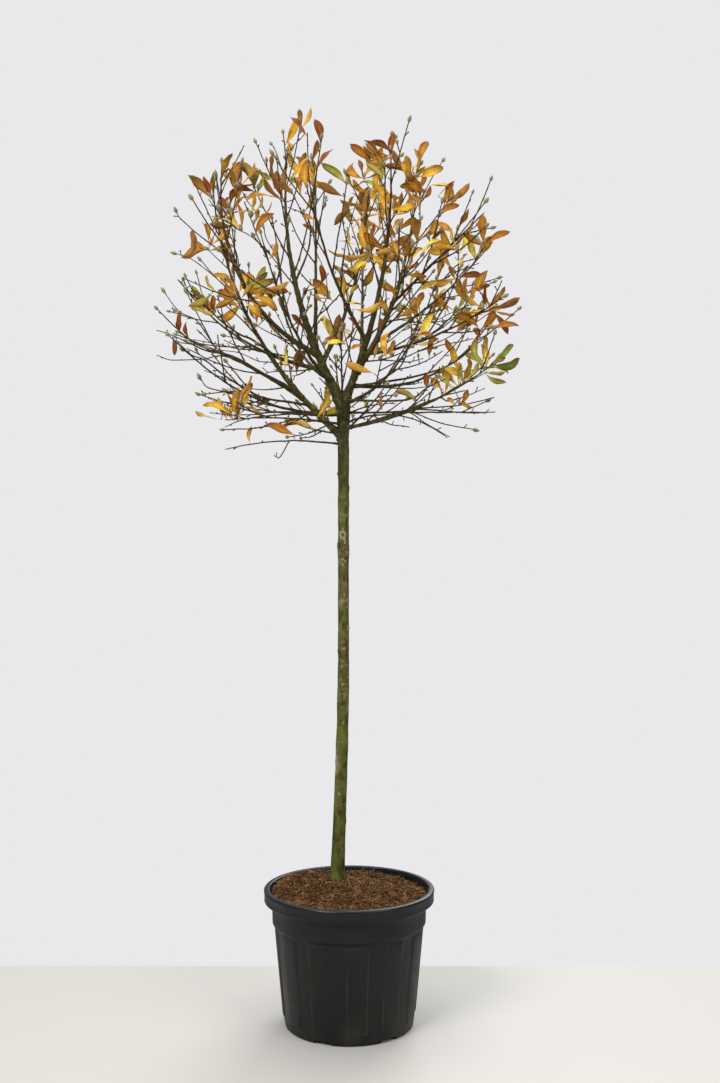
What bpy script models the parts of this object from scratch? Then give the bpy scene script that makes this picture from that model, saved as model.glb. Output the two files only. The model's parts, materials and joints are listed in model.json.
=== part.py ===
# A magnolia grown as a small standard tree: one clear stem, a round crown in autumn leaf
# with next year's silky buds, and a black nursery pot. Metres, +Z up.
# The origin is the centre of the pot's flat underside. The photograph looks along +Y.

import collections
import math
import random

import bmesh
import bpy
from mathutils import Quaternion, Vector
from mathutils.geometry import intersect_point_line

UP = Vector((0, 0, 1))
GAP = 0.0003  # clearance between neighbouring solids
GOLDEN_ANGLE = 137.5

# Pot, turned about the origin, with raised panels round its body
POT_HEIGHT = 0.385
RIM_RADIUS = 0.243
RIM_DEPTH = 0.035
RIM_WIDTH = 0.017
RIM_ROUNDING = 0.004
COLLAR_RADIUS = 0.220
COLLAR_BOTTOM = 0.288
COLLAR_BEVEL = 0.003
COLLAR_TAPER = 0.002
BODY_TOP_RADIUS = 0.2075
FOOT_RADIUS = 0.184
FOOT_CHAMFER = 0.007
WALL = 0.003
FLOOR = 0.012
PANEL_COUNT = 12
PANEL_FIRST = 7.0  # degrees to the right of the front
PANEL_HALF_WIDTH = 8.0
PANEL_EDGE = 1.0
PANEL_PROUD = 0.003
PANEL_TOP = 0.284
PANEL_BOTTOM = 0.034
NOTCH_COUNT = 6
NOTCH_FIRST = 37.0  # degrees to the right of the front
NOTCH_SIZE = (0.016, 0.052, 0.009)

# Soil, a little below the rim and heaped up to the stem
SOIL_EDGE = 0.366
SOIL_TOP = 0.390
SOIL_RINGS = (0.3, 0.65, 1.0)  # of the way from the pot's wall to the stem
STEM_SEAT = 0.034

# Stem, from the flat cut at the soil to the fork
STEM_X = -0.017
STEM_Y = 0.060
FOOT_LEAN = -0.019  # how far the foot stands to the left of the stem above
STRAIGHT_FROM = 1.00  # height where the lean has gone
FORK = 1.800
STEM_RADIUS = 0.0158
THICKER_BELOW = 1.15
LOWER_THICKENING = 0.0035
FLARE = 0.0050
FLARE_HEIGHT = 0.040
FLARE_LOBES = 3
FLARE_LOBE_DEPTH = 0.35
FLARE_RINGS = (0.012, 0.025)  # extra rings above the soil
SWELLINGS = (  # height, extra radius, half length
    (1.346, 0.0016, 0.020),
    (1.480, 0.0008, 0.015),
    (1.640, 0.0008, 0.020),
    (1.765, 0.0045, 0.060),
)
STEM_SIDES = 10
STEM_STEP = 0.052

# Crown: twigs and leaves stay inside this shell
CROWN_CENTRE = Vector((-0.017, 0.060, 2.040))
CROWN_RADIUS = 0.545
CROWN_UP = 0.600
CROWN_DOWN = 0.480
SKY_LINE = (-0.062, 2.26, 0.165)  # the open wedge above the fork: x at a height, and its slope
SKY_HALF_WIDTH = 0.020

# Growth
LIMB_STEPS = 10
BOUGH_SIDES = 5
TWIG_SIDES = 3
LIMB_TAPER = 0.75
TIP_RADIUS = 0.0016
SHOOT_LENGTHS = (0.253, 0.115)  # from the start of a mass's stem to its tip
SHOOT_VARIATION = (0.75, 1.15)
SHOOT_PLACES = (0.3, 0.8)
SHOOT_ANGLES = (22, 42)
SHOOT_SEGMENT = 0.085
SHOOT_RADIUS = 0.0024
SHORT_SHOOT_RADIUS = 0.0013
SHOOT_RISE = 0.13
SHOOT_KINK = 0.07
TWIG_ROOM = 0.004  # what a twig keeps to its neighbours' space and to the limbs
LEAF_ROOM = 0.004
BUD_LENGTH = 0.020
BUD_RADIUS = 0.0045
BUD_WIDEST = 0.45  # of its length
LEAF_LENGTHS = (0.052, 0.084)
LEAF_WIDTH = 0.33  # of its length
LEAF_WIDEST = 0.52
LEAF_THICKNESS = 0.0013
LEAF_SINK = 0.0012
LEAF_FOLD = 0.10  # of its length
LEAF_CURLS = (-0.05, 0.30)
LEAF_ROLLS = (-50, 50)
LEAF_ANGLES = (22, 58)
LEAF_RISE = 0.5
LEAF_SPACING = (0.05, 0.16)  # of its shoot
LEAVES_A_SHOOT = (2, 4)
LEAF_CLEAR_OF_TWIGS = 0.006
LEAF_CLEAR_OF_LEAVES = 0.009

# The limbs. Each leaves its parent at a start height and ends at an azimuth (degrees from +X,
# seen from above), a reach from the stem's axis and a top height. Its bow is how far its path
# hangs out below the straight line, as a share of that line. The first share of it is the
# bough, and the rest is the stem of its mass of foliage.
Limb = collections.namedtuple(
    "Limb", "name parent start azimuth reach top bow radius bough shoots leaves tints"
)
LIMBS = (
    Limb("left_top", "trunk", 1.765, -152, 0.180, 2.475, 0.09, 0.0150, 0.50, 7, 17,
         "rust rust amber gold yellow"),
    Limb("right_top", "trunk", 1.772, -42, 0.180, 2.469, 0.08, 0.0125, 0.50, 7, 17,
         "gold gold amber yellow lime"),
    Limb("left_outer", "trunk", 1.672, 176, 0.384, 2.400, 0.10, 0.0105, 0.42, 7, 13,
         "rust amber amber gold yellow"),
    Limb("left_upper", "left_top", 1.905, -144, 0.405, 2.397, 0.20, 0.0085, 0.36, 7, 14,
         "rust rust amber gold"),
    Limb("left_high", "left_top", 1.865, 161, 0.525, 2.158, 0.09, 0.0070, 0.36, 7, 9,
         "amber gold rust lime"),
    Limb("left_middle", "left_outer", 1.785, -173, 0.476, 1.961, -0.03, 0.0070, 0.34, 7, 5,
         "amber rust"),
    Limb("left_front", "left_outer", 1.745, -148, 0.510, 1.897, 0.09, 0.0050, 0.30, 6, 4,
         "amber gold"),
    Limb("left_back_low", "trunk", 1.738, 156, 0.480, 1.819, 0.04, 0.0040, 0, 5, 3,
         "amber gold"),
    Limb("left_front_low", "trunk", 1.710, -145, 0.384, 1.703, -0.03, 0.0040, 0, 5, 5,
         "gold amber yellow"),
    Limb("left_lowest", "trunk", 1.652, 172, 0.347, 1.643, -0.05, 0.0035, 0, 2, 1,
         "gold"),
    Limb("centre_left", "left_top", 1.925, 112, 0.235, 2.515, 0.02, 0.0070, 0.40, 6, 12,
         "rust amber amber gold"),
    Limb("centre", "left_top", 1.885, 37, 0.083, 2.376, 0.07, 0.0075, 0.40, 7, 14,
         "gold gold amber yellow rust"),
    Limb("right_upper", "right_top", 1.862, 44, 0.310, 2.479, 0.09, 0.0095, 0.50, 7, 17,
         "gold amber amber rust yellow"),
    Limb("right_outer", "right_upper", 2.080, -26, 0.430, 2.273, 0.00, 0.0050, 0.28, 6, 12,
         "gold amber gold yellow lime"),
    Limb("right_high", "right_upper", 1.950, 28, 0.490, 2.267, 0.04, 0.0055, 0.34, 7, 10,
         "gold amber amber"),
    Limb("right_front", "right_top", 1.905, -34, 0.520, 2.024, 0.06, 0.0055, 0.32, 7, 10,
         "gold amber gold yellow"),
    Limb("right_middle", "right_top", 1.822, 14, 0.455, 2.037, 0.15, 0.0060, 0.34, 7, 10,
         "gold amber rust"),
    Limb("right_low", "trunk", 1.700, -32, 0.480, 1.850, 0.06, 0.0055, 0.34, 6, 11,
         "yellow lime gold amber"),
    Limb("right_lowest", "trunk", 1.745, 15, 0.460, 1.759, 0.00, 0.0040, 0, 5, 4,
         "gold amber"),
    Limb("right_drooping", "trunk", 1.712, 34, 0.375, 1.694, -0.12, 0.0035, 0, 2, 1,
         "gold"),
    Limb("front_high", "right_top", 1.945, -106, 0.330, 2.360, 0.10, 0.0065, 0.38, 7, 10,
         "gold amber rust"),
    Limb("front_left", "left_top", 1.835, -116, 0.470, 2.160, 0.10, 0.0065, 0.36, 7, 10,
         "amber rust gold"),
    Limb("front_right", "right_top", 1.862, -68, 0.480, 2.120, 0.08, 0.0065, 0.36, 7, 10,
         "gold amber yellow"),
    Limb("front_low", "trunk", 1.730, -90, 0.490, 1.900, 0.08, 0.0050, 0.30, 6, 8,
         "gold yellow lime"),
    Limb("back_high", "right_top", 1.900, 80, 0.330, 2.380, 0.08, 0.0070, 0.40, 7, 10,
         "gold amber"),
    Limb("back_left", "left_top", 1.840, 116, 0.480, 2.150, 0.08, 0.0070, 0.36, 7, 10,
         "amber rust gold"),
    Limb("back_right", "trunk", 1.770, 58, 0.480, 2.120, 0.10, 0.0065, 0.36, 7, 10,
         "gold amber"),
    Limb("front_lowest", "trunk", 1.688, -74, 0.420, 1.775, 0.02, 0.0035, 0, 4, 3,
         "gold amber"),
    Limb("back_lowest", "trunk", 1.684, 116, 0.420, 1.760, 0.02, 0.0035, 0, 4, 3,
         "gold amber"),
    Limb("back_low", "trunk", 1.718, 94, 0.500, 1.880, 0.06, 0.0050, 0.30, 6, 8,
         "gold amber yellow"),
)

BARK = (0.115, 0.105, 0.050)
TINTS = {
    "gold": (0.62, 0.29, 0.035),
    "amber": (0.50, 0.17, 0.020),
    "rust": (0.26, 0.075, 0.020),
    "yellow": (0.72, 0.47, 0.040),
    "lime": (0.42, 0.44, 0.060),
}


def clear_scene():
    for obj in list(bpy.data.objects):
        bpy.data.objects.remove(obj, do_unlink=True)


def material(name, colour, roughness):
    made = bpy.data.materials.new(name)
    made.use_nodes = True
    shader = made.node_tree.nodes["Principled BSDF"]
    shader.inputs["Base Color"].default_value = (*colour, 1)
    shader.inputs["Roughness"].default_value = roughness
    shader.inputs["Metallic"].default_value = 0
    made.diffuse_color = (*colour, 1)
    return made


def polar(radius, degrees, height=0.0):
    """A point at this distance from the Z axis."""
    angle = math.radians(degrees)
    return Vector((radius * math.cos(angle), radius * math.sin(angle), height))


def turned(vector, axis, degrees):
    return Quaternion(axis, math.radians(degrees)) @ vector


def mesh_object(name, points, faces):
    mesh = bpy.data.meshes.new(name)
    mesh.from_pydata([tuple(point) for point in points], [], faces)
    mesh.update()
    obj = bpy.data.objects.new(name, mesh)
    bpy.context.scene.collection.objects.link(obj)
    return obj


def ring_solid(name, rings, apex=None):
    """A closed solid through rings of equal count, counterclockwise seen from the last one.

    It ends flat, or in a point where it is given one.
    """
    count = len(rings[0])
    points = [point for ring in rings for point in ring]
    faces = [tuple(reversed(range(count)))]
    for ring in range(len(rings) - 1):
        first, second = ring * count, (ring + 1) * count
        for side in range(count):
            after = (side + 1) % count
            faces.append((first + side, first + after, second + after, second + side))
    last = (len(rings) - 1) * count
    if apex is None:
        faces.append(tuple(range(last, last + count)))
    else:
        points.append(apex)
        faces += [(last + side, last + (side + 1) % count, last + count) for side in range(count)]
    return mesh_object(name, points, faces)


def finish(obj, made_of, smooth_angle=None):
    obj.data.materials.clear()
    obj.data.materials.append(made_of)
    if smooth_angle is not None:
        obj.data.shade_smooth()
        obj.data.set_sharp_from_angle(angle=math.radians(smooth_angle))
    return obj


def tangents_of(path):
    found = []
    for index in range(len(path)):
        before, after = path[max(index - 1, 0)], path[min(index + 1, len(path) - 1)]
        found.append((after - before).normalized())
    return found


def tube_rings(path, radii, sides, tangents=None):
    """Rings square to the path, carried along it without twisting."""
    tangents = tangents or tangents_of(path)
    across = tangents[0].orthogonal().normalized()
    rings = []
    for index, (point, tangent, radius) in enumerate(zip(path, tangents, radii)):
        if index:
            across = tangents[index - 1].rotation_difference(tangent) @ across
        rings.append(
            [point + turned(across, tangent, 360 * side / sides) * radius for side in range(sides)]
        )
    return rings


def along(path, share):
    """The point and heading at this share of a path."""
    place = min(max(share, 0), 0.9999) * (len(path) - 1)
    index = int(place)
    start, end = path[index], path[index + 1]
    return start.lerp(end, place - index), (end - start).normalized()


def path_distance(point, path):
    """The distance to a path, and the index of the nearest run of it."""
    nearest = (math.inf, 0)
    for index in range(len(path) - 1):
        start, end = path[index], path[index + 1]
        spot, share = intersect_point_line(point, start, end)
        if share < 0:
            spot = start
        elif share > 1:
            spot = end
        nearest = min(nearest, ((point - spot).length, index))
    return nearest


# Pot and soil

def pot_ring_angles():
    """Both edges of each panel, and whether it stands out there."""
    pitch = 360 / PANEL_COUNT
    outer = PANEL_HALF_WIDTH + PANEL_EDGE
    edges = (-outer, -PANEL_HALF_WIDTH, PANEL_HALF_WIDTH, outer)
    middle = PANEL_FIRST - 90
    return [(middle + pitch * panel + edge, abs(edge) <= PANEL_HALF_WIDTH)
            for panel in range(PANEL_COUNT) for edge in edges]


def body_radius(height):
    return FOOT_RADIUS + (BODY_TOP_RADIUS - FOOT_RADIUS) * height / COLLAR_BOTTOM


def pot_profile():
    """Radius, height and whether the panels stand out, from the underside over the rim to the floor."""
    inner_top = RIM_RADIUS - RIM_WIDTH
    rim_bottom = POT_HEIGHT - RIM_DEPTH
    return (
        (FOOT_RADIUS - FOOT_CHAMFER, 0, False),
        (FOOT_RADIUS, FOOT_CHAMFER, False),
        (body_radius(PANEL_BOTTOM - PANEL_PROUD), PANEL_BOTTOM - PANEL_PROUD, False),
        (body_radius(PANEL_BOTTOM), PANEL_BOTTOM, True),
        (body_radius(PANEL_TOP), PANEL_TOP, True),
        (body_radius(COLLAR_BOTTOM), COLLAR_BOTTOM, False),
        (COLLAR_RADIUS - COLLAR_TAPER, COLLAR_BOTTOM + COLLAR_BEVEL, False),
        (COLLAR_RADIUS, rim_bottom, False),
        (RIM_RADIUS, rim_bottom, False),
        (RIM_RADIUS, POT_HEIGHT - RIM_ROUNDING, False),
        (RIM_RADIUS - RIM_ROUNDING, POT_HEIGHT, False),
        (inner_top, POT_HEIGHT, False),
        (body_radius(COLLAR_BOTTOM) - WALL, COLLAR_BOTTOM, False),
        (FOOT_RADIUS - WALL, FLOOR, False),
    )


def inner_radius(height):
    """The radius of the pot's inside."""
    middle = body_radius(COLLAR_BOTTOM) - WALL
    if height > COLLAR_BOTTOM:
        share = (height - COLLAR_BOTTOM) / (POT_HEIGHT - COLLAR_BOTTOM)
        return middle + (RIM_RADIUS - RIM_WIDTH - middle) * share
    share = (height - FLOOR) / (COLLAR_BOTTOM - FLOOR)
    return FOOT_RADIUS - WALL + (middle - FOOT_RADIUS + WALL) * share


def make_pot():
    rings = []
    for radius, height, panelled in pot_profile():
        rings.append(
            [polar(radius + PANEL_PROUD * (panelled and raised), angle, height)
             for angle, raised in pot_ring_angles()]
        )
    pot = ring_solid("pot", rings)
    for notch in range(NOTCH_COUNT):
        angle = NOTCH_FIRST - 90 + 360 * notch / NOTCH_COUNT
        place = polar(FOOT_RADIUS, angle)
        cut_clear(pot, box_cutter(f"foot_notch_{notch + 1}", NOTCH_SIZE, place, angle))
    return finish(pot, material("black plastic", (0.012, 0.012, 0.013), 0.45), 30)


def box_cutter(name, size, place, degrees):
    mesh = bpy.data.meshes.new(name)
    shape = bmesh.new()
    bmesh.ops.create_cube(shape, size=1)
    bmesh.ops.scale(shape, vec=(size[0], size[1], size[2] * 2), verts=shape.verts)
    shape.to_mesh(mesh)
    shape.free()
    cutter = bpy.data.objects.new(name, mesh)
    cutter.location = place
    cutter.rotation_euler.z = math.radians(degrees)
    hide_cutter(cutter)
    return cutter


def hide_cutter(cutter):
    if not cutter.users_collection:
        bpy.context.scene.collection.objects.link(cutter)
    cutter.hide_render = True
    cutter.display_type = "WIRE"


def make_soil():
    """It fills the pot, and its surface rises to a small flat seat at the stem's foot."""
    foot = stem_point(SOIL_TOP)
    rings = []
    for height in (FLOOR + GAP, COLLAR_BOTTOM, SOIL_EDGE):
        rings.append(soil_ring(inner_radius(height) - GAP * 1.5, height, Vector((0, 0, 0))))
    edge = inner_radius(SOIL_EDGE)
    for share in SOIL_RINGS:
        radius = edge + (STEM_SEAT - edge) * share
        height = SOIL_EDGE + (SOIL_TOP - SOIL_EDGE) * math.sin(share * math.pi / 2)
        rings.append(soil_ring(radius, height, Vector((foot.x, foot.y, 0)) * share))
    coir = material("coir and peat", (0.10, 0.045, 0.020), 0.95)
    return finish(ring_solid("soil", rings), coir, 40)


def soil_ring(radius, height, centre):
    return [polar(radius, angle, height) + centre for angle, _ in pot_ring_angles()]


# Stem

def stem_point(height):
    lean = max(0, (STRAIGHT_FROM - height) / (STRAIGHT_FROM - SOIL_TOP)) ** 1.5
    return Vector((STEM_X + FOOT_LEAN * lean, STEM_Y, height))


def stem_radius(height):
    lower = max(0, (THICKER_BELOW - height) / (THICKER_BELOW - SOIL_TOP))
    radius = STEM_RADIUS + LOWER_THICKENING * lower
    for middle, extra, half_length in SWELLINGS:
        radius += extra * math.exp(-((height - middle) / half_length) ** 2)
    return radius


def stem_heights():
    count = round((FORK - SOIL_TOP) / STEM_STEP)
    even = [SOIL_TOP + GAP + (FORK - SOIL_TOP - GAP) * step / count for step in range(count + 1)]
    return sorted(even + [SOIL_TOP + rise for rise in FLARE_RINGS])


def stem_rings(extra=0.0):
    rings = []
    for height in stem_heights():
        centre = stem_point(height)
        flare = math.exp(-(height - SOIL_TOP) / FLARE_HEIGHT)
        ring = []
        for side in range(STEM_SIDES):
            angle = 360 * side / STEM_SIDES
            lobe = 1 + FLARE_LOBE_DEPTH * math.cos(math.radians(FLARE_LOBES * angle))
            ring.append(centre + polar(stem_radius(height) + FLARE * flare * lobe + extra, angle))
        rings.append(ring)
    return rings


def make_trunk():
    return finish(ring_solid("trunk", stem_rings()), material("bark, trunk", BARK, 0.85), 45)


# Limbs

def limb_end(limb):
    return Vector((STEM_X, STEM_Y, 0)) + polar(limb.reach, limb.azimuth, limb.top)


def limb_start(limb, paths):
    if limb.parent == "trunk":
        return stem_point(limb.start)
    path = paths[limb.parent]
    for low, high in zip(path, path[1:]):
        if low.z <= limb.start <= high.z:
            return low.lerp(high, (limb.start - low.z) / (high.z - low.z))
    raise ValueError(f"{limb.name} starts off its parent")


def limb_path(limb, paths):
    start, end = limb_start(limb, paths), limb_end(limb)
    line = end - start
    rise = line.normalized().z
    level = Vector((line.x, line.y, 0)).normalized()
    outward = level * rise - UP * math.sqrt(1 - rise * rise)
    path = []
    for step in range(LIMB_STEPS + 1):
        share = step / LIMB_STEPS
        bulge = limb.bow * line.length * 4 * share * (1 - share)
        path.append(start + line * share + outward * bulge)
    return path


def limb_radii(limb):
    return [limb.radius + (TIP_RADIUS - limb.radius) * (step / LIMB_STEPS) ** LIMB_TAPER
            for step in range(LIMB_STEPS + 1)]


def bough_steps(limb):
    return round(limb.bough * LIMB_STEPS)


def make_bough(limb, path):
    last = bough_steps(limb) + 1
    rings = tube_rings(path[:last], limb_radii(limb)[:last], BOUGH_SIDES, tangents_of(path)[:last])
    bough = ring_solid(limb.name + "_bough", rings)
    return finish(bough, material("bark, " + limb.name, BARK, 0.85), 60)


def stem_of_mass(limb, path):
    """The stem that a mass grows on, its start clear of the bough's tip."""
    first = bough_steps(limb)
    tangents = tangents_of(path)[first:]
    points = [point.copy() for point in path[first:]]
    if first:
        points[0] += tangents[0] * GAP
    return points, limb_radii(limb)[first:], tangents


def limb_cutter(name, rings):
    """A guide a little thicker than a limb, which keeps what grows from it clear of it."""
    cutter = ring_solid("clearance_round_" + name, rings)
    hide_cutter(cutter)
    return cutter


def cut_clear(obj, cutter):
    cut = obj.modifiers.new(cutter.name, "BOOLEAN")
    cut.operation = "DIFFERENCE"
    cut.object = cutter


# Space

class Space:
    """Where a mass may grow: nearer its own stem than any other, off the wood, in the crown."""

    def __init__(self, name, stems, wood):
        self.own = stems[name]
        self.others = [stem for other, stem in stems.items() if other != name]
        self.wood = wood

    def holds(self, point, room):
        if not inside_crown(point) or in_open_sky(point):
            return False
        limit = path_distance(point, self.own)[0] + room
        if any(path_distance(point, other)[0] < limit for other in self.others):
            return False
        for path, radii in self.wood:
            distance, index = path_distance(point, path)
            if distance < radii[index] + room:
                return False
        return True


def inside_crown(point):
    offset = point - CROWN_CENTRE
    half_height = CROWN_UP if offset.z > 0 else CROWN_DOWN
    level = Vector((offset.x, offset.y)).length
    return (level / CROWN_RADIUS) ** 2 + (offset.z / half_height) ** 2 < 1


def in_open_sky(point):
    x, height, slope = SKY_LINE
    middle = x + (point.z - height) * slope
    return point.z > height and abs(point.x - middle) < SKY_HALF_WIDTH


# Growth

Shoot = collections.namedtuple("Shoot", "path radii")
Leaf = collections.namedtuple("Leaf", "root heading face length curl roll tint")


def shoot_path(start, heading, length, random_source):
    count = max(2, round(length / SHOOT_SEGMENT))
    path = [start]
    for _ in range(count):
        kink = Vector([random_source.uniform(-1, 1) for _ in range(3)]) * SHOOT_KINK
        heading = (heading + UP * SHOOT_RISE + kink).normalized()
        path.append(path[-1] + heading * length / count)
    return path


def kept_path(path, space):
    """As much of a shoot as stays in its space."""
    kept = [path[0]]
    for start, end in zip(path, path[1:]):
        if not all(space.holds(start.lerp(end, share), TWIG_ROOM) for share in (0.4, 0.7, 1)):
            break
        kept.append(end)
    return kept


def side_heading(heading, turn, spread):
    side = turned(heading.orthogonal().normalized(), heading, turn)
    return turned(heading, side.cross(heading).normalized(), -spread)


def side_shoot(parent, share, turn, spread, length, space, random_source):
    start, heading = along(parent.path, share)
    path = shoot_path(start, side_heading(heading, turn, spread), length, random_source)
    path = kept_path(path, space)
    if len(path) < 2:
        return None
    fullness = min(1, length / SHOOT_LENGTHS[0])
    radius = SHORT_SHOOT_RADIUS + (SHOOT_RADIUS - SHORT_SHOOT_RADIUS) * fullness
    radii = [radius + (TIP_RADIUS - radius) * step / (len(path) - 1) for step in range(len(path))]
    return Shoot(path, radii)


def grow_shoots(limb, stem, space, random_source):
    """The stem and its side shoots."""
    grown = [stem]
    turn = random_source.uniform(0, 360)
    for number in range(limb.shoots):
        share = (number + random_source.uniform(*SHOOT_PLACES)) / (limb.shoots + 0.5)
        turn += GOLDEN_ANGLE
        spread = random_source.uniform(*SHOOT_ANGLES)
        length = SHOOT_LENGTHS[0] + (SHOOT_LENGTHS[1] - SHOOT_LENGTHS[0]) * share
        length *= random_source.uniform(*SHOOT_VARIATION)
        shoot = side_shoot(stem, share, turn, spread, length, space, random_source)
        if shoot:
            grown.append(shoot)
    return grown


def leaf_points(leaf):
    """Root, left edge, right edge, crest, keel and tip of the folded blade."""
    side = turned(leaf.heading.cross(leaf.face).normalized(), leaf.heading, leaf.roll)
    face = side.cross(leaf.heading).normalized()
    middle = leaf.root + leaf.heading * leaf.length * LEAF_WIDEST
    fold = face * leaf.length * LEAF_FOLD
    half_width = side * leaf.length * LEAF_WIDTH / 2
    half_thickness = face * LEAF_THICKNESS / 2
    return (
        leaf.root - leaf.heading * LEAF_SINK,
        middle - half_width + fold,
        middle + half_width + fold,
        middle + half_thickness,
        middle - half_thickness,
        leaf.root + leaf.heading * leaf.length - face * leaf.length * leaf.curl,
    )


def leaf_fits(leaf, space):
    root, left, right, crest, _, tip = leaf_points(leaf)
    tests = (
        crest, tip, left, right, left.lerp(tip, 0.5), right.lerp(tip, 0.5), crest.lerp(tip, 0.5),
        root.lerp(crest, 0.5), root.lerp(left, 0.6), root.lerp(right, 0.6),
    )
    return all(space.holds(point, LEAF_ROOM) for point in tests)


def leaf_is_free(leaf, shoots, leaves):
    """Past its stalk, the blade keeps clear of the mass's own twigs and of its other leaves."""
    root, _, _, crest, _, tip = leaf_points(leaf)
    for point in (root.lerp(crest, 0.55), crest, crest.lerp(tip, 0.5), tip):
        if any(path_distance(point, shoot.path)[0] < LEAF_CLEAR_OF_TWIGS for shoot in shoots):
            return False
        for other in leaves:
            other_root, _, _, other_crest, _, other_tip = leaf_points(other)
            if path_distance(point, (other_root, other_crest, other_tip))[0] < LEAF_CLEAR_OF_LEAVES:
                return False
    return True


def grow_leaves(limb, shoots, space, random_source):
    """Leaves stand round the ends of some shoots, until the mass has its number."""
    leaves = []
    for _ in range(4):
        order = list(shoots)
        random_source.shuffle(order)
        for shoot in order:
            turn = random_source.uniform(0, 360)
            for number in range(random_source.randint(*LEAVES_A_SHOOT)):
                share = 1 - number * random_source.uniform(*LEAF_SPACING)
                turn += GOLDEN_ANGLE
                leaf = new_leaf(limb, shoot, share, turn, random_source)
                if len(leaves) == limb.leaves or not leaf_is_free(leaf, shoots, leaves):
                    continue
                if leaf_fits(leaf, space):
                    leaves.append(leaf)
            if len(leaves) >= limb.leaves:
                return leaves
    return leaves


def new_leaf(limb, shoot, share, turn, random_source):
    root, heading = along(shoot.path, min(share, 0.97))
    spread = random_source.uniform(*LEAF_ANGLES)
    direction = side_heading(heading, turn, spread) + UP * random_source.uniform(0, LEAF_RISE)
    direction.normalize()
    face = heading - direction * heading.dot(direction)
    if face.length < 0.05:
        face = direction.orthogonal()
    return Leaf(
        root, direction, face.normalized(), random_source.uniform(*LEAF_LENGTHS),
        random_source.uniform(*LEAF_CURLS), random_source.uniform(*LEAF_ROLLS),
        random_source.choice(limb.tints.split()),
    )


# Masses

def leaf_solid(name, leaf):
    points = leaf_points(leaf)
    faces = [(0, 1, 3), (1, 5, 3), (5, 2, 3), (2, 0, 3), (1, 0, 4), (5, 1, 4), (2, 5, 4), (0, 2, 4)]
    return outward(mesh_object(name, points, faces))


def outward(obj):
    """Faces turned to point out of the solid."""
    shape = bmesh.new()
    shape.from_mesh(obj.data)
    if shape.calc_volume(signed=True) < 0:
        bmesh.ops.reverse_faces(shape, faces=shape.faces)
    shape.to_mesh(obj.data)
    shape.free()
    return obj


def shoot_solid(name, shoot, tangents=None):
    """A three-sided twig that ends in a pointed bud."""
    tangents = tangents or tangents_of(shoot.path)
    end, ahead = shoot.path[-1], tangents[-1]
    path = [*shoot.path, end + ahead * BUD_LENGTH * BUD_WIDEST]
    radii = [*shoot.radii, BUD_RADIUS]
    rings = tube_rings(path, radii, TWIG_SIDES, [*tangents, ahead])
    return ring_solid(name, rings, end + ahead * BUD_LENGTH)


def fuse(obj, pieces):
    """One union of a solid with everything in a collection, which is then removed."""
    union = obj.modifiers.new("union", "BOOLEAN")
    union.operation = "UNION"
    union.operand_type = "COLLECTION"
    union.collection = pieces
    graph = bpy.context.evaluated_depsgraph_get()
    fused = bpy.data.meshes.new_from_object(obj.evaluated_get(graph))
    obj.modifiers.remove(union)
    obj.data = fused
    for piece in list(pieces.objects):
        bpy.data.objects.remove(piece, do_unlink=True)
    bpy.data.collections.remove(pieces)
    return keep_largest(obj)


def keep_largest(obj):
    """Drops loose scraps and the walls of sealed hollows."""
    shape = bmesh.new()
    shape.from_mesh(obj.data)
    left = set(shape.verts)
    islands = []
    while left:
        reached, waiting = set(), [left.pop()]
        while waiting:
            point = waiting.pop()
            reached.add(point)
            near = {edge.other_vert(point) for edge in point.link_edges}
            waiting.extend(near & left)
            left -= near
        islands.append(reached)
    keep = max(islands, key=len)
    scraps = [point for island in islands if island is not keep for point in island]
    if scraps:
        print(obj.name, "dropped", len(islands) - 1, "loose pieces")
    bmesh.ops.delete(shape, geom=scraps, context="VERTS")
    shape.to_mesh(obj.data)
    shape.free()
    return obj


def make_mass(limb, shoots, tangents, leaves):
    """The stem, its side shoots and their leaves as one solid."""
    pieces = bpy.data.collections.new(limb.name + " pieces")
    bpy.context.scene.collection.children.link(pieces)
    made = []
    for number, shoot in enumerate(shoots[1:]):
        made.append(shoot_solid(f"{limb.name} shoot {number}", shoot))
    for number, leaf in enumerate(leaves):
        made.append(leaf_solid(f"{limb.name} leaf {number}", leaf))
    for piece in made:
        pieces.objects.link(piece)
        bpy.context.scene.collection.objects.unlink(piece)
    mass = fuse(shoot_solid(limb.name + "_foliage", shoots[0], tangents), pieces)
    colour = TINTS[limb.tints.split()[0]]
    return finish(mass, material("foliage, " + limb.name, colour, 0.6))


def wood_in_the_way(paths):
    """The paths and radii of the trunk and of the boughs, which no twig or leaf may touch."""
    heights = stem_heights()
    wood = [([stem_point(height) for height in heights], [stem_radius(height) for height in heights])]
    for limb in LIMBS:
        last = bough_steps(limb) + 1
        if limb.bough:
            wood.append((paths[limb.name][:last], limb_radii(limb)[:last]))
    return wood


def make_clearances(paths):
    clearances = {"trunk": limb_cutter("trunk", stem_rings(GAP))}
    for limb in LIMBS:
        if any(other.parent == limb.name for other in LIMBS):
            radii = [radius + GAP for radius in limb_radii(limb)]
            rings = tube_rings(paths[limb.name], radii, BOUGH_SIDES)
            clearances[limb.name] = limb_cutter(limb.name, rings)
    return clearances


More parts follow.
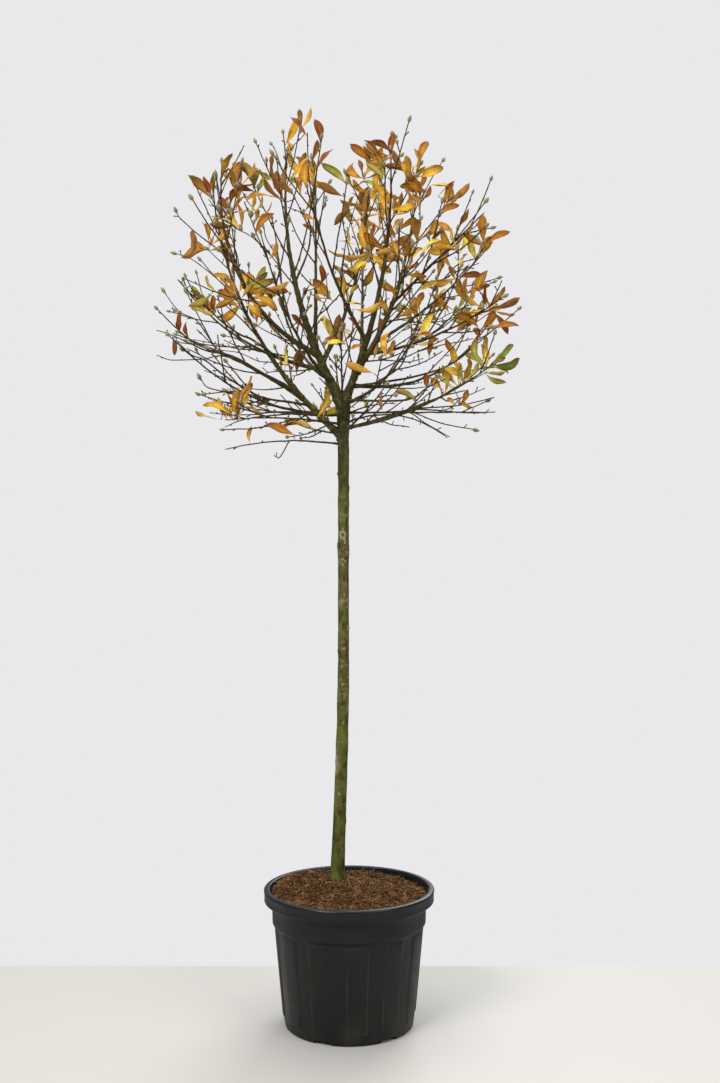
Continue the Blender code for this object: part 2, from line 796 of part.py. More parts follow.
def make_tree():
    make_trunk()
    paths = {}
    for limb in LIMBS:
        paths[limb.name] = limb_path(limb, paths)
    stems = {limb.name: stem_of_mass(limb, paths[limb.name]) for limb in LIMBS}
    stem_paths = {name: stem[0] for name, stem in stems.items()}
    wood = wood_in_the_way(paths)
    clearances = make_clearances(paths)
    for limb in LIMBS:
        space = Space(limb.name, stem_paths, wood)
        random_source = random.Random(limb.name)
        points, radii, tangents = stems[limb.name]
        shoots = grow_shoots(limb, Shoot(points, radii), space, random_source)
        leaves = grow_leaves(limb, shoots, space, random_source)
        print(limb.name, len(shoots), "shoots", len(leaves), "of", limb.leaves, "leaves")
        rooted = make_mass(limb, shoots, tangents, leaves)
        if limb.bough:
            rooted = make_bough(limb, paths[limb.name])
        for parent in dict.fromkeys(("trunk", limb.parent)):
            cut_clear(rooted, clearances[parent])


def main():
    clear_scene()
    make_pot()
    make_soil()
    make_tree()


main()
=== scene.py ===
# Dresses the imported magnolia: bark, twigs, silky buds, autumn leaves, the nursery pot and its coir.
# Metres, +Z up, origin at the centre of the pot's underside. The photograph looks along +Y.
import collections
import json
import math
import random

import bmesh
import bpy
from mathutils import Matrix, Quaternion, Vector, kdtree, noise
from mathutils.geometry import intersect_point_line

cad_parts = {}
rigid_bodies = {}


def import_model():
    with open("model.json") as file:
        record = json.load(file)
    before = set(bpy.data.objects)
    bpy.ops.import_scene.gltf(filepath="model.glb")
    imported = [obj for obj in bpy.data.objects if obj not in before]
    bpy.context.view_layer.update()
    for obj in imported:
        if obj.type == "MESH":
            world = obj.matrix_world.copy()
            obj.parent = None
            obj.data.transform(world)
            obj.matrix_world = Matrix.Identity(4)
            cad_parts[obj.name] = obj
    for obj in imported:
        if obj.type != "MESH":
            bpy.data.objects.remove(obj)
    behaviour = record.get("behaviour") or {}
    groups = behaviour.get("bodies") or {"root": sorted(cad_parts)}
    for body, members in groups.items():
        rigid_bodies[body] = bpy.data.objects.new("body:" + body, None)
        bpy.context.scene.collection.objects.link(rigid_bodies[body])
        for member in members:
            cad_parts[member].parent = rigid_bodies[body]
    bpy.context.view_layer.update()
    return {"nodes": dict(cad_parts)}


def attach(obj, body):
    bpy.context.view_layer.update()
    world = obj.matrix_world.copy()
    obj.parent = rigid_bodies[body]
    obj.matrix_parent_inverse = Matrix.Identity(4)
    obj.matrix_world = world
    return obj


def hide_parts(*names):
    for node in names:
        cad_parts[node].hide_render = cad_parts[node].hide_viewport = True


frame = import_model()
up = Vector((0, 0, 1))
foliageNodes = sorted(name for name in frame["nodes"] if name.endswith("_foliage"))
boughNodes = sorted(name for name in frame["nodes"] if name.endswith("_bough"))
print("frame loaded:", len(frame["nodes"]), "nodes")

# the limbs and the rule they grow by, the same as in the part's own source

stem = {
    "x": -0.017, "y": 0.06, "footLean": -0.019, "straightFrom": 1.0, "soilTop": 0.39, "fork": 1.8,
    "radius": 0.0158, "thickerBelow": 1.15, "thickening": 0.0035, "step": 0.052,
    "flare": 0.005, "flareHeight": 0.04, "flareLobes": 3, "flareLobeDepth": 0.35,
    "flareRings": (0.012, 0.025),
    "swellings": (  # height, how far it stands proud, half length
        (1.346, 0.0016, 0.02), (1.48, 0.0008, 0.015), (1.64, 0.0008, 0.02), (1.765, 0.0045, 0.06),
    ),
}
crown = {
    "centre": Vector((-0.017, 0.06, 2.04)), "radius": 0.545, "up": 0.6, "down": 0.48,
    "skyX": -0.062, "skyFrom": 2.26, "skySlope": 0.165, "skyHalf": 0.02,  # the open wedge over the fork
}
growth = {
    "gap": 0.0003, "goldenAngle": 137.5, "limbSteps": 10, "limbTaper": 0.75, "tipRadius": 0.0016,
    "shootLengths": (0.253, 0.115), "shootVariation": (0.75, 1.15), "shootPlaces": (0.3, 0.8),
    "shootAngles": (22, 42), "shootSegment": 0.085, "shootRadius": 0.0024, "shortRadius": 0.0013,
    "shootRise": 0.13, "shootKink": 0.07, "twigRoom": 0.004, "leafRoom": 0.004,
    "leafLengths": (0.052, 0.084), "leafWidth": 0.33, "leafWidest": 0.52, "leafThickness": 0.0013,
    "leafSink": 0.0012, "leafFold": 0.1, "leafCurls": (-0.05, 0.3), "leafRolls": (-50, 50),
    "leafAngles": (22, 58), "leafRise": 0.5, "leafSpacing": (0.05, 0.16), "leavesAShoot": (2, 4),
    "clearOfTwigs": 0.006, "clearOfLeaves": 0.009, "lastLeaf": 0.97, "leafRounds": 4,
}

# name, parent, start height, azimuth, reach, top height, bow, radius, share that is bough,
# side shoots, leaves, tints
Limb = collections.namedtuple(
    "Limb", "name parent start azimuth reach top bow radius bough shoots leaves tints"
)
limbs = [Limb(*row) for row in (
    ("left_top", "trunk", 1.765, -152, 0.18, 2.475, 0.09, 0.015, 0.5, 7, 17, "rust rust amber gold yellow"),
    ("right_top", "trunk", 1.772, -42, 0.18, 2.469, 0.08, 0.0125, 0.5, 7, 17, "gold gold amber yellow lime"),
    ("left_outer", "trunk", 1.672, 176, 0.384, 2.4, 0.1, 0.0105, 0.42, 7, 13, "rust amber amber gold yellow"),
    ("left_upper", "left_top", 1.905, -144, 0.405, 2.397, 0.2, 0.0085, 0.36, 7, 14, "rust rust amber gold"),
    ("left_high", "left_top", 1.865, 161, 0.525, 2.158, 0.09, 0.007, 0.36, 7, 9, "amber gold rust lime"),
    ("left_middle", "left_outer", 1.785, -173, 0.476, 1.961, -0.03, 0.007, 0.34, 7, 5, "amber rust"),
    ("left_front", "left_outer", 1.745, -148, 0.51, 1.897, 0.09, 0.005, 0.3, 6, 4, "amber gold"),
    ("left_back_low", "trunk", 1.738, 156, 0.48, 1.819, 0.04, 0.004, 0, 5, 3, "amber gold"),
    ("left_front_low", "trunk", 1.71, -145, 0.384, 1.703, -0.03, 0.004, 0, 5, 5, "gold amber yellow"),
    ("left_lowest", "trunk", 1.652, 172, 0.347, 1.643, -0.05, 0.0035, 0, 2, 1, "gold"),
    ("centre_left", "left_top", 1.925, 112, 0.235, 2.515, 0.02, 0.007, 0.4, 6, 12, "rust amber amber gold"),
    ("centre", "left_top", 1.885, 37, 0.083, 2.376, 0.07, 0.0075, 0.4, 7, 14, "gold gold amber yellow rust"),
    ("right_upper", "right_top", 1.862, 44, 0.31, 2.479, 0.09, 0.0095, 0.5, 7, 17,
     "gold amber amber rust yellow"),
    ("right_outer", "right_upper", 2.08, -26, 0.43, 2.273, 0, 0.005, 0.28, 6, 12,
     "gold amber gold yellow lime"),
    ("right_high", "right_upper", 1.95, 28, 0.49, 2.267, 0.04, 0.0055, 0.34, 7, 10, "gold amber amber"),
    ("right_front", "right_top", 1.905, -34, 0.52, 2.024, 0.06, 0.0055, 0.32, 7, 10,
     "gold amber gold yellow"),
    ("right_middle", "right_top", 1.822, 14, 0.455, 2.037, 0.15, 0.006, 0.34, 7, 10, "gold amber rust"),
    ("right_low", "trunk", 1.7, -32, 0.48, 1.85, 0.06, 0.0055, 0.34, 6, 11, "yellow lime gold amber"),
    ("right_lowest", "trunk", 1.745, 15, 0.46, 1.759, 0, 0.004, 0, 5, 4, "gold amber"),
    ("right_drooping", "trunk", 1.712, 34, 0.375, 1.694, -0.12, 0.0035, 0, 2, 1, "gold"),
    ("front_high", "right_top", 1.945, -106, 0.33, 2.36, 0.1, 0.0065, 0.38, 7, 10, "gold amber rust"),
    ("front_left", "left_top", 1.835, -116, 0.47, 2.16, 0.1, 0.0065, 0.36, 7, 10, "amber rust gold"),
    ("front_right", "right_top", 1.862, -68, 0.48, 2.12, 0.08, 0.0065, 0.36, 7, 10, "gold amber yellow"),
    ("front_low", "trunk", 1.73, -90, 0.49, 1.9, 0.08, 0.005, 0.3, 6, 8, "gold yellow lime"),
    ("back_high", "right_top", 1.9, 80, 0.33, 2.38, 0.08, 0.007, 0.4, 7, 10, "gold amber"),
    ("back_left", "left_top", 1.84, 116, 0.48, 2.15, 0.08, 0.007, 0.36, 7, 10, "amber rust gold"),
    ("back_right", "trunk", 1.77, 58, 0.48, 2.12, 0.1, 0.0065, 0.36, 7, 10, "gold amber"),
    ("front_lowest", "trunk", 1.688, -74, 0.42, 1.775, 0.02, 0.0035, 0, 4, 3, "gold amber"),
    ("back_lowest", "trunk", 1.684, 116, 0.42, 1.76, 0.02, 0.0035, 0, 4, 3, "gold amber"),
    ("back_low", "trunk", 1.718, 94, 0.5, 1.88, 0.06, 0.005, 0.3, 6, 8, "gold amber yellow"),
)]


def polar(radius, degrees, height=0.0):
    angle = math.radians(degrees)
    return Vector((radius * math.cos(angle), radius * math.sin(angle), height))


def turned(vector, axis, degrees):
    return Quaternion(axis, math.radians(degrees)) @ vector


def along(path, share):
    # the place at that share of the path, and the way it heads there
    place = min(max(share, 0), 0.9999) * (len(path) - 1)
    index = int(place)
    start, end = path[index], path[index + 1]
    return start.lerp(end, place - index), (end - start).normalized()


def pathLength(path):
    return sum((end - start).length for start, end in zip(path, path[1:]))


def pathDistance(point, path):
    # how far the point is, and the number of the nearest stretch
    nearest = (math.inf, 0)
    for index in range(len(path) - 1):
        start, end = path[index], path[index + 1]
        spot, share = intersect_point_line(point, start, end)
        if share < 0:
            spot = start
        elif share > 1:
            spot = end
        nearest = min(nearest, ((point - spot).length, index))
    return nearest


def stemPoint(height):
    lean = max(0, (stem["straightFrom"] - height) / (stem["straightFrom"] - stem["soilTop"])) ** 1.5
    return Vector((stem["x"] + stem["footLean"] * lean, stem["y"], height))


def stemRadius(height):
    lower = max(0, (stem["thickerBelow"] - height) / (stem["thickerBelow"] - stem["soilTop"]))
    radius = stem["radius"] + stem["thickening"] * lower
    for middle, extra, halfLength in stem["swellings"]:
        radius += extra * math.exp(-((height - middle) / halfLength) ** 2)
    return radius


def stemHeights():
    soil, gap = stem["soilTop"], growth["gap"]
    rise = stem["fork"] - soil
    count = round(rise / stem["step"])
    even = [soil + gap + (rise - gap) * step / count for step in range(count + 1)]
    return sorted(even + [soil + height for height in stem["flareRings"]])


def limbPath(limb, paths):
    start = stemPoint(limb.start)
    if limb.parent != "trunk":
        path = paths[limb.parent]
        for low, high in zip(path, path[1:]):
            if low.z <= limb.start <= high.z:
                start = low.lerp(high, (limb.start - low.z) / (high.z - low.z))
                break
    line = Vector((stem["x"], stem["y"], 0)) + polar(limb.reach, limb.azimuth, limb.top) - start
    rise = line.normalized().z
    outward = Vector((line.x, line.y, 0)).normalized() * rise - up * math.sqrt(1 - rise * rise)
    steps = growth["limbSteps"]
    bow = outward * limb.bow * line.length * 4
    return [
        start + line * step / steps + bow * (step / steps) * (1 - step / steps) for step in range(steps + 1)
    ]


def limbRadii(limb):
    steps = growth["limbSteps"]
    return [
        limb.radius + (growth["tipRadius"] - limb.radius) * (step / steps) ** growth["limbTaper"]
        for step in range(steps + 1)
    ]


def boughSteps(limb):
    return round(limb.bough * growth["limbSteps"])


def insideCrown(point):
    offset = point - crown["centre"]
    halfHeight = crown["up"] if offset.z > 0 else crown["down"]
    level = Vector((offset.x, offset.y)).length
    return (level / crown["radius"]) ** 2 + (offset.z / halfHeight) ** 2 < 1


class Space:
    # where a mass may grow: nearer its own stem than any other, off the wood, inside the crown
    def __init__(self, name, stems, wood):
        self.own = stems[name]
        self.others = [path for other, path in stems.items() if other != name]
        self.wood = wood

    def holds(self, point, room):
        if not insideCrown(point):
            return False
        middle = crown["skyX"] + (point.z - crown["skyFrom"]) * crown["skySlope"]
        if point.z > crown["skyFrom"] and abs(point.x - middle) < crown["skyHalf"]:
            return False
        limit = pathDistance(point, self.own)[0] + room
        if any(pathDistance(point, other)[0] < limit for other in self.others):
            return False
        for path, radii in self.wood:
            distance, index = pathDistance(point, path)
            if distance < radii[index] + room:
                return False
        return True


Shoot = collections.namedtuple("Shoot", "path radii")
Leaf = collections.namedtuple("Leaf", "root heading face length curl roll tint")


def wander(start, heading, length, count, rise, kink, dice):
    # a path of count stretches that turns upwards and strays a little at each
    path = [start]
    for _ in range(count):
        stray = Vector([dice.uniform(-1, 1) for _ in range(3)]) * kink
        heading = (heading + up * rise + stray).normalized()
        path.append(path[-1] + heading * length / count)
    return path


def tapered(thick, thin, last):
    return [thick + (thin - thick) * step / last for step in range(last + 1)]


def keptPath(path, space, room):
    kept = [path[0]]
    for start, end in zip(path, path[1:]):
        if not all(space.holds(start.lerp(end, share), room) for share in (0.4, 0.7, 1)):
            break
        kept.append(end)
    return kept


def sideHeading(heading, turn, spread):
    side = turned(heading.orthogonal().normalized(), heading, turn)
    return turned(heading, side.cross(heading).normalized(), -spread)


def sideShoot(parent, share, turn, spread, length, space, dice):
    start, heading = along(parent.path, share)
    heading = sideHeading(heading, turn, spread)
    count = max(2, round(length / growth["shootSegment"]))
    path = wander(start, heading, length, count, growth["shootRise"], growth["shootKink"], dice)
    path = keptPath(path, space, growth["twigRoom"])
    if len(path) < 2:
        return None
    fullness = min(1, length / growth["shootLengths"][0])
    radius = growth["shortRadius"] + (growth["shootRadius"] - growth["shortRadius"]) * fullness
    return Shoot(path, tapered(radius, growth["tipRadius"], len(path) - 1))


def growShoots(limb, first, space, dice):
    # returns the stem with its side shoots, and where on the stem each is rooted
    grown, rooted = [first], [None]
    turn = dice.uniform(0, 360)
    longest, shortest = growth["shootLengths"]
    for number in range(limb.shoots):
        share = (number + dice.uniform(*growth["shootPlaces"])) / (limb.shoots + 0.5)
        turn += growth["goldenAngle"]
        spread = dice.uniform(*growth["shootAngles"])
        length = (longest + (shortest - longest) * share) * dice.uniform(*growth["shootVariation"])
        shoot = sideShoot(first, share, turn, spread, length, space, dice)
        if shoot:
            grown.append(shoot)
            rooted.append((0, share))
    return grown, rooted


def leafPoints(leaf):
    # root, the two widest places, the crest between them, tip
    side = turned(leaf.heading.cross(leaf.face).normalized(), leaf.heading, leaf.roll)
    face = side.cross(leaf.heading).normalized()
    middle = leaf.root + leaf.heading * leaf.length * growth["leafWidest"]
    fold = face * leaf.length * growth["leafFold"]
    halfWidth = side * leaf.length * growth["leafWidth"] / 2
    return (
        leaf.root - leaf.heading * growth["leafSink"],
        middle - halfWidth + fold,
        middle + halfWidth + fold,
        middle + face * growth["leafThickness"] / 2,
        leaf.root + leaf.heading * leaf.length - face * leaf.length * leaf.curl,
    )


def leafFits(leaf, space):
    root, left, right, crest, tip = leafPoints(leaf)
    tests = (
        crest, tip, left, right, left.lerp(tip, 0.5), right.lerp(tip, 0.5), crest.lerp(tip, 0.5),
        root.lerp(crest, 0.5), root.lerp(left, 0.6), root.lerp(right, 0.6),
    )
    return all(space.holds(point, growth["leafRoom"]) for point in tests)


def leafIsFree(leaf, shoots, leaves):
    root, _, _, crest, tip = leafPoints(leaf)
    for point in (root.lerp(crest, 0.55), crest, crest.lerp(tip, 0.5), tip):
        if any(pathDistance(point, shoot.path)[0] < growth["clearOfTwigs"] for shoot in shoots):
            return False
        for other in leaves:
            otherRoot, _, _, otherCrest, otherTip = leafPoints(other)
            if pathDistance(point, (otherRoot, otherCrest, otherTip))[0] < growth["clearOfLeaves"]:
                return False
    return True


def newLeaf(limb, shoot, share, turn, dice):
    root, heading = along(shoot.path, min(share, growth["lastLeaf"]))
    spread = dice.uniform(*growth["leafAngles"])
    direction = sideHeading(heading, turn, spread) + up * dice.uniform(0, growth["leafRise"])
    direction.normalize()
    face = heading - direction * heading.dot(direction)
    if face.length < 0.05:
        face = direction.orthogonal()
    return Leaf(
        root, direction, face.normalized(), dice.uniform(*growth["leafLengths"]),
        dice.uniform(*growth["leafCurls"]), dice.uniform(*growth["leafRolls"]),
        dice.choice(limb.tints.split()),
    )


def growLeaves(limb, shoots, space, dice, wanted, leaves):
    # returns the leaves with the shoot and the share of it that each is rooted on
    rooted = []
    for _ in range(growth["leafRounds"]):
        order = list(range(len(shoots)))
        dice.shuffle(order)
        for index in order:
            turn = dice.uniform(0, 360)
            for number in range(dice.randint(*growth["leavesAShoot"])):
                share = 1 - number * dice.uniform(*growth["leafSpacing"])
                turn += growth["goldenAngle"]
                leaf = newLeaf(limb, shoots[index], share, turn, dice)
                if len(rooted) == wanted or not leafIsFree(leaf, shoots, leaves):
                    continue
                if leafFits(leaf, space):
                    leaves.append(leaf)
                    rooted.append((index, min(share, growth["lastLeaf"])))
            if len(rooted) >= wanted:
                return rooted
    return rooted


# finer growth within the same reach

# how many to a metre of the shoot that they leave, where on it, how long and how far off its line
fineShoots = {
    "spacing": 0.265, "onStem": 0.55, "onShoots": 0.8, "places": (0.25, 0.9), "spare": 0.3,
    "lengths": (0.03, 0.105), "angles": (24, 46), "stretches": 2, "rise": 0.08, "kink": 0.05,
    "radius": 0.0016, "tip": 0.0011, "room": 0.003,
}
innerShoots = {
    "spacing": 0.105, "places": (0.4, 0.95), "spare": 0, "lengths": (0.1, 0.22), "angles": (26, 48),
    "stretches": 3, "rise": 0.1, "kink": 0.06, "radii": (0.0024, 0.0021, 0.0017, 0.0012),
    "offWood": 0.012, "droop": 0.02,
}
# leaves beyond the source's own, as a share of each limb's number
extraLeaves = {"back_high": 0.6, "back_left": 0.4, "back_right": 0.5, "right_upper": 0.3, "centre_left": 0.3}


def sprouts(path, count, look, dice):
    # so many new paths along a path, each with the share of it that it leaves from
    turn = dice.uniform(0, 360)
    for number in range(count):
        share = (number + dice.uniform(*look["places"])) / (count + look["spare"])
        turn += growth["goldenAngle"]
        start, heading = along(path, share)
        reach = dice.uniform(*look["lengths"])
        heading = sideHeading(heading, turn, dice.uniform(*look["angles"]))
        yield share, wander(start, heading, reach, look["stretches"], look["rise"], look["kink"], dice)


def growFiner(limb, shoots, rooted, space):
    # adds finer twigs to the shoots, the stem's own first
    dice = random.Random(limb.name + " twigs")
    for index in range(len(shoots)):
        fullness = fineShoots["onShoots" if index else "onStem"]
        count = int(pathLength(shoots[index].path) / fineShoots["spacing"] * fullness)
        for share, path in sprouts(shoots[index].path, count, fineShoots, dice):
            path = keptPath(path, space, fineShoots["room"])
            if len(path) > 1:
                shoots.append(Shoot(path, tapered(fineShoots["radius"], fineShoots["tip"], len(path) - 1)))
                rooted.append((index, share))


def growInner(limb, path, wood):
    # shoots from the bough itself, which fill the middle of the crown
    dice = random.Random(limb.name + " inner")
    count = round(pathLength(path) / innerShoots["spacing"])
    grown = []
    for share, line in sprouts(path, count, innerShoots, dice):
        clear = all(
            pathDistance(point, other)[0] > innerShoots["offWood"] and insideCrown(point)
            for point in line[1:] for other, _ in wood
        )
        if clear and line[-1].z > line[0].z - innerShoots["droop"]:
            grown.append((share, Shoot(line, innerShoots["radii"])))
    return grown


# curves through the grown paths, for drawing

Curve = collections.namedtuple("Curve", "points radii")
# distance between points, how far it sways, and how much thicker its foot is
drawn = {"limb": (0.009, 0.0014, 0.45), "shoot": (0.01, 0.0011, 0.5), "markedTwig": (0.01, 0.0007, 0.4)}
twigLook = {
    "nodeSpacing": (0.024, 0.034), "nodeSwelling": 0.16, "nodeHalf": 0.0022, "collarLength": 1.6,
    "swaysAMetre": 38, "steadyFoot": 0.02, "steadyTip": 0.4,
}
# three places of one noise, for a sway that is the same in every run
swayShifts = (Vector((0, 0, 0)), Vector((19.3, 7.1, 3.7)), Vector((-11.9, 23.4, 5.2)))


def throughPoints(path, index, t):
    # a smooth way from one point of the path to the next
    a = path[index - 1] if index else path[0] * 2 - path[1]
    b, c = path[index], path[index + 1]
    d = path[index + 2] if index + 2 < len(path) else c * 2 - b
    bent = b * 2 + (c - a) * t + (a * 2 - b * 5 + c * 4 - d) * t * t + (b * 3 - a - c * 3 + d) * t ** 3
    return bent * 0.5


def smoothCurve(path, radii, kind, dice, parentRadius):
    # a curve through every point of the path, with a little zigzag and a thicker ring at each node
    spacing, sway, collar = drawn[kind]
    length = pathLength(path)
    count = max(3, round(length / spacing))
    phase = dice.uniform(0, 6.28)
    nodeSpacing = dice.uniform(*twigLook["nodeSpacing"])
    points, thick = [], []
    for step in range(count + 1):
        share = step / count
        place = min(share, 0.99999) * (len(path) - 1)
        index = int(place)
        run = share * length
        swing = sway * min(1, run / twigLook["steadyFoot"]) * (1 if step < count else twigLook["steadyTip"])
        spot = Vector((run * twigLook["swaysAMetre"] + phase, phase * 3.1, 0.3))
        offset = Vector([noise.noise(spot + shift) for shift in swayShifts]) * swing
        points.append(throughPoints(path, index, place - index) + offset)
        radius = radii[index] + (radii[index + 1] - radii[index]) * (place - index)
        fromNode = (run / nodeSpacing + phase) % 1
        fromNode = min(fromNode, 1 - fromNode) * nodeSpacing
        radius *= 1 + twigLook["nodeSwelling"] * math.exp(-(fromNode / twigLook["nodeHalf"]) ** 2)
        radius *= 1 + collar * math.exp(-max(0, run - parentRadius) / (radii[0] * twigLook["collarLength"]))
        thick.append(radius)
    return Curve(points, thick)


def rootOn(curve, spot, fade):
    # moves the foot of a curve onto the wood as it is drawn, and the rest of it less and less
    shift = spot - curve.points[0]
    for step in range(len(curve.points)):
        curve.points[step] += shift * math.exp(-step * fade)


def endOf(curve):
    return curve.points[-1], (curve.points[-1] - curve.points[-2]).normalized()


# meshes

def linked(name, data):
    made = bpy.data.objects.new(name, data)
    bpy.context.scene.collection.objects.link(made)
    return made


def discard(*unwanted):
    for made in unwanted:
        bpy.data.objects.remove(made, do_unlink=True)


def newObject(name, points, faces, edges=()):
    mesh = bpy.data.meshes.new(name)
    mesh.from_pydata([tuple(point) for point in points], list(edges), faces)
    mesh.update()
    return linked(name, mesh)


def addAttribute(mesh, name, values, kind="FLOAT"):
    layer = mesh.attributes.new(name, kind, "POINT")
    if kind == "FLOAT":
        layer.data.foreach_set("value", values)
    else:
        layer.data.foreach_set("vector", [part for value in values for part in value])


def evaluatedMesh(host):
    graph = bpy.context.evaluated_depsgraph_get()
    return bpy.data.meshes.new_from_object(host.evaluated_get(graph))


def ringFaces(rowCount, sides):
    # the skin between rows of points that go round
    faces = []
    for row in range(rowCount - 1):
        for side in range(sides):
            after = (side + 1) % sides
            a, b = row * sides, (row + 1) * sides
            faces.append((a + side, a + after, b + after, b + side))
    return faces


def endFaces(rowCount, sides, bottom, top):
    # fans that close the first row and the last one at their middle points
    last = (rowCount - 1) * sides
    faces = []
    for side in range(sides):
        after = (side + 1) % sides
        faces += [(after, side, bottom), (last + side, last + after, top)]
    return faces


def finished(piece, *looks):
    for look in looks:
        piece.data.materials.append(look)
    piece.data.shade_smooth()
    return piece


def settle(piece, slot, *nodes):
    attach(piece, "root")
    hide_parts(*nodes)
    print(piece.name, len(piece.data.polygons), "faces")


# node trees

def feed(tree, socket, value):
    # wires a socket to another one, or sets its own value
    if isinstance(value, bpy.types.NodeSocket):
        tree.links.new(value, socket)
    else:
        socket.default_value = (*value, 1) if socket.type == "RGBA" else value


def newNode(tree, kind, inputs=None, **settings):
    node = tree.nodes.new(kind)
    for name, value in settings.items():
        setattr(node, name, value)
    for key, value in (inputs or {}).items():
        feed(tree, node.inputs[key], value)
    return node


def newTree(name, inputs):
    tree = bpy.data.node_groups.new(name, "GeometryNodeTree")
    tree.interface.new_socket("Geometry", in_out="INPUT", socket_type="NodeSocketGeometry")
    tree.interface.new_socket("Geometry", in_out="OUTPUT", socket_type="NodeSocketGeometry")
    for socketName, kind in inputs.items():
        tree.interface.new_socket(socketName, in_out="INPUT", socket_type="NodeSocket" + kind)
    return tree, newNode(tree, "NodeGroupInput").outputs


def endTree(tree, shapes, finish):
    # every tree ends in one smooth plain mesh with its finish on
    smooth = newNode(tree, "GeometryNodeSetShadeSmooth", {"Geometry": shapes})
    realize = newNode(tree, "GeometryNodeRealizeInstances", {"Geometry": smooth.outputs[0]})
    paint = newNode(tree, "GeometryNodeSetMaterial", {"Geometry": realize.outputs[0], "Material": finish})
    newNode(tree, "NodeGroupOutput", {"Geometry": paint.outputs[0]})
    return tree


def named(tree, name, kind="FLOAT"):
    node = newNode(tree, "GeometryNodeInputNamedAttribute", {"Name": name}, data_type=kind)
    return node.outputs["Attribute"]


def socketOf(tree, name):
    for item in tree.interface.items_tree:
        if item.name == name and item.in_out == "INPUT":
            return item.identifier
    raise KeyError(name)


def plainMesh(host, tree, settings, name):
    # runs the tree on its host and keeps the result as a plain mesh
    modifier = host.modifiers.new("growth", "NODES")
    modifier.node_group = tree
    for socketName, value in settings.items():
        modifier[socketOf(tree, socketName)] = value
    mesh = evaluatedMesh(host)
    host.modifiers.clear()
    made = linked(name, mesh)
    discard(host)
    return made


def skinTree():
    # a round skin on every line, as thick as its own girth, with a little relief
    inputs = {"Sides": "Int", "Relief": "Float", "Grain": "Float", "Bark": "Material"}
    tree, given = newTree("wood skin", inputs)
    lines = newNode(tree, "GeometryNodeMeshToCurve", {0: given["Geometry"]})
    circle = newNode(tree, "GeometryNodeCurvePrimitiveCircle", {"Radius": 1, "Resolution": given["Sides"]})
    skin = newNode(tree, "GeometryNodeCurveToMesh", {
        "Curve": lines.outputs[0], "Profile Curve": circle.outputs["Curve"],
        "Scale": named(tree, "girth"), "Fill Caps": True,
    })
    position = newNode(tree, "GeometryNodeInputPosition").outputs[0]
    grain = newNode(tree, "ShaderNodeTexNoise", {"Vector": position, "Scale": given["Grain"], "Detail": 3})
    level = newNode(tree, "ShaderNodeMath", {0: grain.outputs["Fac"], 1: 0.5}, operation="SUBTRACT")
    depth = newNode(tree, "ShaderNodeMath", {0: level.outputs[0], 1: given["Relief"]}, operation="MULTIPLY")
    normal = newNode(tree, "GeometryNodeInputNormal").outputs[0]
    push = newNode(tree, "ShaderNodeVectorMath", {0: normal, "Scale": depth.outputs[0]}, operation="SCALE")
    raised = {"Geometry": skin.outputs["Mesh"], "Offset": push.outputs[0]}
    move = newNode(tree, "GeometryNodeSetPosition", raised)
    return endTree(tree, move.outputs[0], given["Bark"])


def skinned(name, curves, sides, relief, grain, bark, tree):
    points, edges, girths = [], [], []
    for curve in curves:
        first = len(points)
        points += curve.points
        girths += curve.radii
        edges += [(first + index, first + index + 1) for index in range(len(curve.points) - 1)]
    host = newObject(name + " lines", points, [], edges)
    addAttribute(host.data, "girth", girths)
    return plainMesh(host, tree, {"Sides": sides, "Relief": relief, "Grain": grain, "Bark": bark}, name)


def plantedTree():
    # one shape on every point, pointing along its aim, as large as its size, and spun at random
    tree, given = newTree("planted shapes", {"Shape": "Object", "Spin seed": "Int", "Finish": "Material"})
    shape = newNode(tree, "GeometryNodeObjectInfo", {"Object": given["Shape"]})
    spots = newNode(tree, "GeometryNodeMeshToPoints", {0: given["Geometry"]})
    aim = named(tree, "aim", "FLOAT_VECTOR")
    align = newNode(tree, "FunctionNodeAlignRotationToVector", {"Vector": aim}, axis="Z")
    # the random node's fourth input is its most, and its ninth the seed
    spin = newNode(tree, "FunctionNodeRandomValue", {3: math.tau, 8: given["Spin seed"]})
    axis = newNode(tree, "FunctionNodeAxisAngleToRotation", {"Axis": (0, 0, 1), "Angle": spin.outputs[1]})
    turn = {"Rotation": align.outputs[0], "Rotate By": axis.outputs[0]}
    rotate = newNode(tree, "FunctionNodeRotateRotation", turn, rotation_space="LOCAL")
    plant = newNode(tree, "GeometryNodeInstanceOnPoints", {
        "Points": spots.outputs[0], "Instance": shape.outputs["Geometry"],
        "Rotation": rotate.outputs[0], "Scale": named(tree, "size", "FLOAT_VECTOR"),
    })
    return endTree(tree, plant.outputs[0], given["Finish"])


def planted(name, shape, spots, seed, finish, tree):
    # spots: place, aim, size
    host = newObject(name + " spots", [spot[0] for spot in spots], [])
    addAttribute(host.data, "aim", [spot[1] for spot in spots], "FLOAT_VECTOR")
    addAttribute(host.data, "size", [spot[2] for spot in spots], "FLOAT_VECTOR")
    return plainMesh(host, tree, {"Shape": shape, "Spin seed": seed, "Finish": finish}, name)


# finishes

